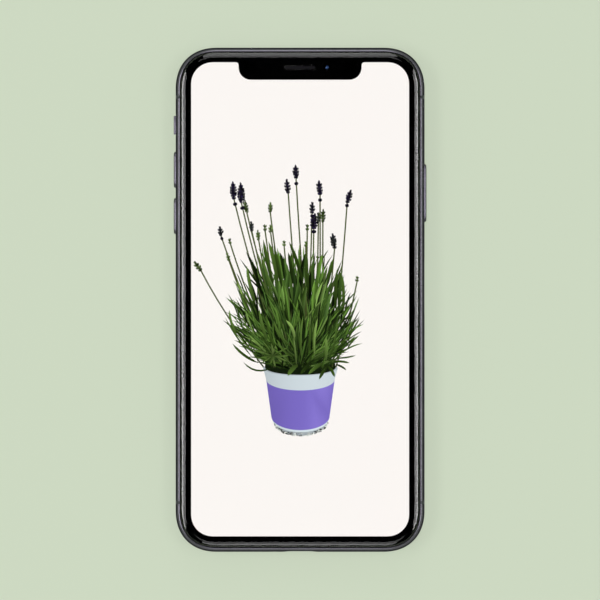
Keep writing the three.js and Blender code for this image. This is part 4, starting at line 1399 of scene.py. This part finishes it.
def wire(shell, path, radius, sides=6):
    """A round wire along a path of points: circles across its direction, drawn to a point at both ends."""
    along = np.gradient(path, axis=0)
    along /= np.linalg.norm(along, axis=1, keepdims=True)
    level = np.cross(along, [0, 0, 1.0])
    level /= np.linalg.norm(level, axis=1, keepdims=True)
    rise = np.cross(level, along)
    angle = np.linspace(0, 2 * np.pi, sides, endpoint=False)[None, :, None]
    size = np.full(len(path), radius)
    size[[0, -1]] = 0
    ring = np.cos(angle) * level[:, None] + np.sin(angle) * rise[:, None]
    shell.grid(path[:, None] + ring * size[:, None, None], (False, True))


class PHONE_OT_earpiece(Operator):
    """Make the earpiece's woven mesh in its frame, and the front camera's barrel and lens"""

    bl_idname = "phone.earpiece"
    bl_label = "Earpiece and front camera"

    def execute(self, context):
        sizes = context.scene.phone_sizes
        thick, pitch = sizes.wire / MM, sizes.wire_pitch / MM
        shape = Pill(0, SENSOR_LINE, 8.8, 1.05)
        shell = Shell()
        profile = [(0, 7.9), (0, 8.3), (-0.03, 8.34), (-0.1, 8.34), (-0.13, 8.3), (-0.13, 7.9)]
        shell.loop(shape, profile, upward, 10, mark=1)
        half, radius = shape.core[0], shape.radius - 0.08
        level, swing = 8.16, thick * 0.55
        shell.levels(Pill(0, SENSOR_LINE, 8.55, 0.8), [(0, 7.92), (0, 7.96)], upward, steps=8, mark=1)
        for number, y in enumerate(np.arange(-2, 3) * pitch):
            reach = half + np.sqrt(radius**2 - y**2)
            x = np.linspace(-reach, reach, int(8 * reach / pitch))
            z = level + swing * np.cos(np.pi * (x / pitch + number))
            wire(shell, np.column_stack([x, np.full(len(x), SENSOR_LINE + y), z]), thick / 2)
        for number, x in enumerate(np.arange(-21, 22) * pitch):
            reach = np.sqrt(max(radius**2 - max(abs(x) - half, 0) ** 2, 0.01))
            y = np.linspace(-reach, reach, int(8 * reach / pitch) + 4)
            z = level - swing * np.cos(np.pi * (y / pitch + number + 21))
            wire(shell, np.column_stack([np.full(len(y), x), SENSOR_LINE + y, z]), thick / 2)
        put("earpiece_weave", shell, ["black_steel", "border_ink"], ["earpiece_mesh"])

        camera = Shell()
        middle = np.array([FRONT_CAMERA, SENSOR_LINE])
        camera.block((*(middle - 2.3), 3.4), (*(middle + 2.3), 6.4), 0)
        barrel = Pill(FRONT_CAMERA, SENSOR_LINE, 2.6, 2.6)
        steps = [(0, 6.4), (0, 7.7), (-0.05, 7.75), (-0.3, 7.75), (-0.36, 7.62), (-0.5, 7.6), (-0.55, 7.32)]
        camera.levels(barrel, [*steps, (-0.68, 7.3)], upward, (True, True), 12, 0)
        bulge, opening, seat = 1.08, 0.6, 7.31
        tilt = np.linspace(np.arcsin(opening / bulge), 0.03, 12)
        rises = seat + bulge * (np.cos(tilt) - np.cos(tilt[0]))
        lens = list(zip(bulge * np.sin(tilt) - barrel.radius, rises))
        camera.levels(barrel, [(lens[0][0], 7.1), *lens], upward, (True, True), 12, 1)
        put("selfie_camera", camera, ["border_ink", "front_lens"], ["front_camera"])
        return {"FINISHED"}


# ---- Keys, mute lever and card tray ----

INNER_SIDE = HALF_WIDTH - INNER_WALL
KEY_WIDTH = 2.8
NUB_END = 31.75


def flange(thick):
    """Levels of a plate behind the band's wall: a hair off it, with the edge towards it broken."""
    gap = 0.05
    return [(0, INNER_SIDE - thick), (0, INNER_SIDE - 2 * gap), (-gap, INNER_SIDE - gap)]


def key_shell(side, y, size, sizes):
    """A key: its cap through the band with a rounded edge and a crowned face, a flange behind the wall and
    a nub. The crown falls off with the square of the distance from the cap's middle line."""
    place = sideways(side)
    shape = Pill(y, MID_HEIGHT, size, KEY_WIDTH)
    face = HALF_WIDTH + sizes.key_proud / MM
    edge, crown = sizes.key_round / MM, sizes.key_crown / MM
    levels = [(0, INNER_SIDE - 0.3)]
    levels += [(grow, face - crown - depth) for grow, depth in quarter(edge, 8)[::-1]]
    share = np.linspace(0, 0.96, 6)[1:]
    inner = KEY_WIDTH / 2 - edge
    levels += [(-edge - inner * s, face - crown * (1 - s) ** 2) for s in share]
    shell = Shell()
    shell.levels(shape, levels, place, steps=10)
    shell.levels(Pill(y, MID_HEIGHT, size + 1.2, 3.8), flange(0.55), place, steps=8)
    nub = [(-0.15, NUB_END), (0, NUB_END + 0.15), (0, INNER_SIDE - 0.5)]
    shell.levels(Pill(y, MID_HEIGHT, 2, 2), nub, place, steps=6)
    return shell


class PHONE_OT_keys(Operator):
    """Make the two volume keys, the side key and the mute lever"""

    bl_idname = "phone.keys"
    bl_label = "Keys"

    def execute(self, context):
        sizes = context.scene.phone_sizes
        keys = (
            ("key_volume_up", -1, VOLUME_UP_Y, 10.2, "volume_up_button", "volume_up"),
            ("key_volume_down", -1, VOLUME_DOWN_Y, 10.2, "volume_down_button", "volume_down"),
            ("key_side", 1, SIDE_KEY_Y, 16.4, "side_button", "side_key"),
        )
        for name, side, y, size, node, body in keys:
            put(name, key_shell(side, y, size, sizes), "key_steel", [node], body)
        lever = Shell()
        height = MID_HEIGHT + 0.8
        bar = Pill(MUTE_Y, height, 5.3, 1.1, 0.18)
        face = HALF_WIDTH + sizes.key_proud / MM
        levels = [(0, INNER_SIDE - 0.4)] + [(grow, face - depth) for grow, depth in quarter(0.16, 6)[::-1]]
        lever.levels(bar, levels, sideways(-1), steps=5)
        plate = Pill(MUTE_Y, height, 6.8, 1.8, 0.2)
        lever.levels(plate, flange(0.7), sideways(-1), steps=4)
        put("key_mute", lever, "key_steel", ["mute_lever"], "mute")
        return {"FINISHED"}


class PHONE_OT_card_tray(Operator):
    """Make the card tray: its face follows the band's, with the eject hole, and its frame lies behind it"""

    bl_idname = "phone.card_tray"
    bl_label = "Card tray"

    def execute(self, context):
        shell = Shell()
        hair, back_reach, card_x = 0.02, 32.65, 24.5
        shape = Pill(TRAY_Y, MID_HEIGHT, 16.2, 2.4)
        eject = Pill(TRAY_Y - 6.4, MID_HEIGHT, 0.9, 0.9)

        def place(points, depth):
            reach = HALF_WIDTH - hair - face_inset(points[:, 1]) - depth
            return np.column_stack([reach, points])

        above = np.array([0.2, 0.45, 0.7, 0.9, 1.1])
        rows = MID_HEIGHT + np.concatenate([-above[::-1], above])
        chord = shape.core[0] + np.sqrt(shape.radius**2 - (rows - MID_HEIGHT) ** 2) - hair
        lines = [np.array([(TRAY_Y - c, row), (TRAY_Y + c, row)]) for c, row in zip(chord, rows)]
        back = sideways(1)
        shell.pierced(
            shape.ring(0, 10), [eject], place, lambda points: back(points, back_reach), lines, 0.08
        )
        plate = Pill(25.55, TRAY_Y, 14.3, 14.0, 0.7)
        seat = Pill(card_x, TRAY_Y, 9.0, 12.4, 0.8)
        window = Pill(card_x, TRAY_Y, 5.6, 8.0, 0.8)
        sheets = ((plate.ring(), seat, 5.15, 4.35), (seat.ring(0.15), window, 4.6, 4.36))
        for outline, hole, top, foot in sheets:
            shell.pierced(
                outline,
                [hole],
                lambda points, depth, top=top: upward(points, top - depth),
                lambda points, foot=foot: upward(points, foot),
                (),
                0.08,
            )
        put("tray", shell, "dark_steel", ["sim_tray"], "card_tray")
        return {"FINISHED"}


# ---- Rear cameras ----


class PHONE_OT_rear_cameras(Operator):
    """Make the camera island: trim, cover, lens rings, lens windows, camera barrels and flash"""

    bl_idname = "phone.rear_cameras"
    bl_label = "Rear cameras"

    def execute(self, context):
        edge = context.scene.phone_sizes.trim_round / MM
        x, y = ISLAND
        pill = Pill(x, y, 11.4, 23.2)
        trim = Shell()
        outside = [(grow, depth) for grow, depth in quarter(edge, 6)[::-1]]
        inside = [(-0.7 - grow, depth) for grow, depth in quarter(0.12, 4)]
        profile = [(0, 1.7), *outside, *inside, (-0.7, 0.75), (-1.2, 0.75), (-1.2, 1.7)]
        trim.loop(pill, profile, upward, 16)
        put("island_trim", trim, "trim_steel", ["camera_trim"])

        cover = Shell()
        lenses = [Pill(x, y + side * LENS_OFFSET, 7.3, 7.3) for side in (1, -1)]
        holes = [*lenses, Pill(x, y, 3.2, 3.2), Pill(x + 2.9, y, 0.8, 0.8)]
        cover.pierced(
            pill.ring(-0.8, 16),
            holes,
            lambda points, depth: upward(points, 0.05 + depth),
            lambda points: upward(points, 0.75),
            (),
            0.05,
        )
        put("island_cover", cover, "back_glass", ["camera_cover"])

        for side, word in ((1, "wide"), (-1, "tele")):
            centre = (x, y + side * LENS_OFFSET)
            ring = Shell()
            outer = Pill(*centre, 7.2, 7.2)
            profile = [(-0.9, 0.1), (-0.84, 0.02), (-0.08, 0.02), (0, 0.1)]
            profile += [(0, 0.75), (-1.3, 0.75), (-1.3, 0.55), (-0.9, 0.55)]
            ring.loop(outer, profile, upward, 16)
            put(f"ring_{word}", ring, "trim_steel", [f"lens_ring_{word}"])
            window = Shell()
            pane = Pill(*centre, 5.3, 5.3)
            window.levels(pane, [(-0.05, 0.12), (0, 0.17), (0, 0.55)], upward, steps=16)
            put(f"window_{word}", window, "cover_glass", [f"lens_window_{word}"])
            camera = Shell()
            middle = centre[1] + side * 0.05
            camera.block((x - 5.3, middle - 5.3, 2.1), (x + 5.3, middle + 5.3, 6.4), 0)
            barrel = Pill(x, middle, 6.4, 6.4)
            steps = [(0, 2.1), (0, 0.86), (-0.06, 0.8), (-0.7, 0.8), (-0.75, 1.0)]
            steps += [(-1.2, 1.02), (-1.25, 1.25), (-1.6, 1.27), (-1.65, 1.5), (-1.7, 1.5)]
            camera.levels(barrel, steps, upward, (False, True), 16, 0)
            angle = np.linspace(0, np.pi / 2, 9)[:-1]
            dome = [(-1.7 - 1.5 * (1 - np.cos(a)), 1.49 - 0.45 * np.sin(a)) for a in angle]
            camera.levels(barrel, [(-1.7, 1.5), *dome], upward, (True, True), 16, 1)
            put(f"camera_{word}", camera, ["chip_epoxy", "lens_glass"], [f"rear_camera_{word}"])

        flash = Shell()
        lamp = Pill(x, y, 3.1, 3.1)
        ridges = [(-0.12, 0.05)]
        for number in range(5):
            grow = -0.2 - number * 0.22
            ridges += [(grow, 0.16), (grow - 0.18, 0.08)]
        levels = [(0, 2.0), (0, 0.1), (-0.05, 0.05), *ridges, (-1.4, 0.08)]
        flash.levels(lamp, levels, upward, steps=12)
        put("flash", flash, "lamp", ["flash_module"], sharp=20.0)
        return {"FINISHED"}


# ---- Bottom end ----


class PHONE_OT_bottom_end(Operator):
    """Make the port's shell with its contact tongue, and the two end screws"""

    bl_idname = "phone.bottom_end"
    bl_label = "Bottom end"

    def execute(self, context):
        port = Shell()
        shape = Pill(0, MID_HEIGHT, 8.6, 2.9)
        back = PORT_MOUTH + 8.5
        mouth = [(0.35, back), (0.35, PORT_MOUTH + 0.1), (0.25, PORT_MOUTH), (0.12, PORT_MOUTH)]
        port.levels(shape, [*mouth, (0, PORT_MOUTH + 0.12), (0, back - 0.8)], endways, steps=12)
        tongue = Pill(0, MID_HEIGHT, 6.6, 0.7, 0.12)
        tip = [(-0.25, PORT_MOUTH + 0.6), (-0.06, PORT_MOUTH + 0.66), (0, PORT_MOUTH + 0.85)]
        port.levels(tongue, [*tip, (0, back - 0.5)], endways, steps=4, mark=1)
        for number in range(8):
            x = -2.45 + number * 0.7
            for low in (MID_HEIGHT + 0.34, MID_HEIGHT - 0.37):
                port.block((x - 0.19, PORT_MOUTH + 1.2, low), (x + 0.19, back - 1.2, low + 0.03), 2)
        for x in (-2.9, 2.9):
            port.block((x - 0.5, back - 3, 2.5), (x + 0.5, back - 1, MID_HEIGHT - 1.5), 0)
        finishes = ["bare_steel", "black_plastic", "contact_gold"]
        put("charging_port", port, finishes, ["port_shell"])

        for x, word in ((-7.3, "left"), (7.3, "right")):
            screw = Shell()
            head = Pill(x, MID_HEIGHT, 1.9, 1.9)
            face, seat = -HALF_LENGTH + 0.35, -HALF_LENGTH + 0.95
            cross = np.array([(0.5, 0.12), (0.12, 0.12), (0.12, 0.5)])
            cross = np.vstack([cross, cross[::-1] * [-1, 1], cross * [-1, -1], cross[::-1] * [1, -1]])
            cross = cross + [x, MID_HEIGHT]
            rim = [(-0.1, face), (0, face + 0.1), (0, seat), (-0.34, seat)]
            screw.levels(head, rim, endways, (False, True), 10)
            points, triangles = plate_triangles([head.ring(-0.1, 10), cross])
            screw.add(endways(points, face), triangles)
            screw.grid(np.stack([endways(cross, face), endways(cross, face + 0.25)]), (False, True))
            points, triangles = plate_triangles([cross])
            screw.add(endways(points, face + 0.25), triangles)
            shank = Pill(x, MID_HEIGHT, 1.2, 1.2)
            screw.levels(shank, [(0, seat - 0.05), (0, -67.7)], endways, steps=6)
            put(f"end_screw_{word}", screw, "trim_steel", [f"bottom_screw_{word}"])
        return {"FINISHED"}


# ---- Inside ----

INSIDE = {
    "black_plastic": ("display_frame", "earpiece_speaker", "loudspeaker", "bottom_microphone"),
    "stamped_steel": ("display_shield", "sensor_bracket", "modem_shield", "sim_reader", "dock_bracket"),
    "bare_steel": ("board_screw_upper", "board_screw_lower", "vibration_motor"),
    "aluminium": ("chassis_plate", "left_switch_plate", "side_switch_plate"),
    "lens_glass": ("infrared_camera",),
    "chip_epoxy": ("dot_projector", "processor_package", "memory_package"),
    "winding": ("charging_coil",),
    "pouch": ("battery",),
    "circuit_board": ("logic_board", "dock_board"),
    "flex": ("display_flex", "battery_flex", "dock_flex"),
}


class PHONE_OT_inside(Operator):
    """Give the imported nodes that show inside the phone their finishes"""

    bl_idname = "phone.inside"
    bl_label = "Inside finishes"

    def execute(self, context):
        for finish, nodes in INSIDE.items():
            coat(finish, *nodes)
        return {"FINISHED"}


# ---- Studio ----


def softbox(azimuth, start, end, across, radiance, distance=2.6):
    """An elliptical light that faces the phone, placed as in LIGHTS. Its power is pi times its area times
    its radiance."""
    name = f"light_{azimuth}_{start}"
    light = bpy.data.lights.new(name, "AREA")
    light.shape = "ELLIPSE"
    light.size = 2 * distance * np.tan(np.radians(across))
    light.size_y = 2 * distance * np.tan(np.radians((end - start) / 2))
    light.energy = radiance * light.size * light.size_y * np.pi * np.pi / 4
    lamp = bpy.data.objects.new(name, light)
    tilt, turn = np.radians((start + end) / 2), np.radians(azimuth)
    lamp.location = (
        distance * np.sin(tilt) * np.cos(turn),
        distance * np.sin(tilt) * np.sin(turn),
        distance * np.cos(tilt),
    )
    lamp.rotation_euler = (tilt, 0, turn + np.pi / 2)
    lamp.visible_camera = False
    bpy.context.scene.collection.objects.link(lamp)


class PHONE_OT_studio(Operator):
    """Set up the floor with its cove, the soft lights and the camera straight above"""

    bl_idname = "phone.studio"
    bl_label = "Studio"

    def execute(self, context):
        scene = context.scene
        look = scene.phone_studio
        flat, bend, wall = 3300, 1400, 4200
        angle = np.linspace(0, np.pi / 2, 12)
        radii = np.concatenate([[0.001, 400, 1500], flat + bend * np.sin(angle), [flat + bend]])
        rises = np.concatenate([[0, 0, 0], bend * (1 - np.cos(angle)), [wall]])
        turn = np.linspace(0, 2 * np.pi, 96, endpoint=False)[:, None]
        floor = Shell()
        cove = np.stack(np.broadcast_arrays(radii * np.cos(turn), radii * np.sin(turn), rises), -1)
        floor.grid(cove, (True, False))
        stage = bpy.data.objects.new("studio_floor", floor.mesh("studio_floor"))
        stage.data.flip_normals()
        paint = Finish("floor_paint", Specular_IOR_Level=0.0, Roughness=0.9, Emission_Strength=look.glow)
        paper = paint.blend(paint.noise(3, 2.0), scaled(look.floor, 0.995), scaled(look.floor, 1.005))
        dimmed = paint.blend(0.78, paper, (0.0, 0.0, 0.0))
        paint.set(Base_Color=dimmed, Emission_Color=paper)
        stage.data.materials.append(paint.material)
        scene.collection.objects.link(stage)
        stage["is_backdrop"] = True
        for azimuth, start, end, across, radiance in LIGHTS:
            softbox(azimuth, start, end, across, radiance * look.lights)
        world = bpy.data.worlds.new("studio_air")
        world.use_nodes = True
        world.node_tree.nodes["Background"].inputs["Color"].default_value = (0, 0, 0, 1)
        scene.world = world
        lens = bpy.data.cameras.new("camera")
        lens.lens = look.lens
        lens.sensor_width = 36.0
        lens.clip_start, lens.clip_end = 0.01, 20.0
        camera = bpy.data.objects.new("camera", lens)
        height = look.view_width * look.lens / lens.sensor_width
        camera.location = (*VIEW_SHIFT, AIM_HEIGHT + height)
        scene.collection.objects.link(camera)
        scene.camera = camera
        scene.view_settings.view_transform = "Standard"
        scene.view_settings.look = "None"
        return {"FINISHED"}


STEPS = (
    PHONE_OT_band,
    PHONE_OT_glasses,
    PHONE_OT_display,
    PHONE_OT_earpiece,
    PHONE_OT_keys,
    PHONE_OT_card_tray,
    PHONE_OT_rear_cameras,
    PHONE_OT_bottom_end,
    PHONE_OT_inside,
    PHONE_OT_studio,
)
GROUPS = {
    "phone_sizes": PhoneSizes,
    "phone_colours": PhoneColours,
    "plant_picture": PictureLook,
    "phone_studio": StudioLook,
}


class PHONE_PT_parts(Panel):
    """Lists the settings and the steps that make the phone"""

    bl_label = "Phone"
    bl_idname = "PHONE_PT_parts"
    bl_space_type = "VIEW_3D"
    bl_region_type = "UI"
    bl_category = "Phone"

    def draw(self, context):
        for name, group in GROUPS.items():
            box = self.layout.box()
            settings = getattr(context.scene, name)
            for setting in group.__annotations__:
                box.prop(settings, setting)
        for step in STEPS:
            self.layout.operator(step.bl_idname)


def register():
    for group in GROUPS.values():
        bpy.utils.register_class(group)
    for name, group in GROUPS.items():
        setattr(bpy.types.Scene, name, PointerProperty(type=group))
    for step in (*STEPS, PHONE_PT_parts):
        bpy.utils.register_class(step)


def unregister():
    for step in (PHONE_PT_parts, *STEPS):
        bpy.utils.unregister_class(step)
    for name in GROUPS:
        delattr(bpy.types.Scene, name)
    for group in GROUPS.values():
        bpy.utils.unregister_class(group)


def main():
    register()
    for step in STEPS:
        group, name = step.bl_idname.split(".")
        getattr(getattr(bpy.ops, group), name)()
    boxes = {"cad": CAD_BOX, "visual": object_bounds()}
    {name: [list(corner) for corner in box] for name, box in boxes.items()}


if __name__ == "__main__":
    main()
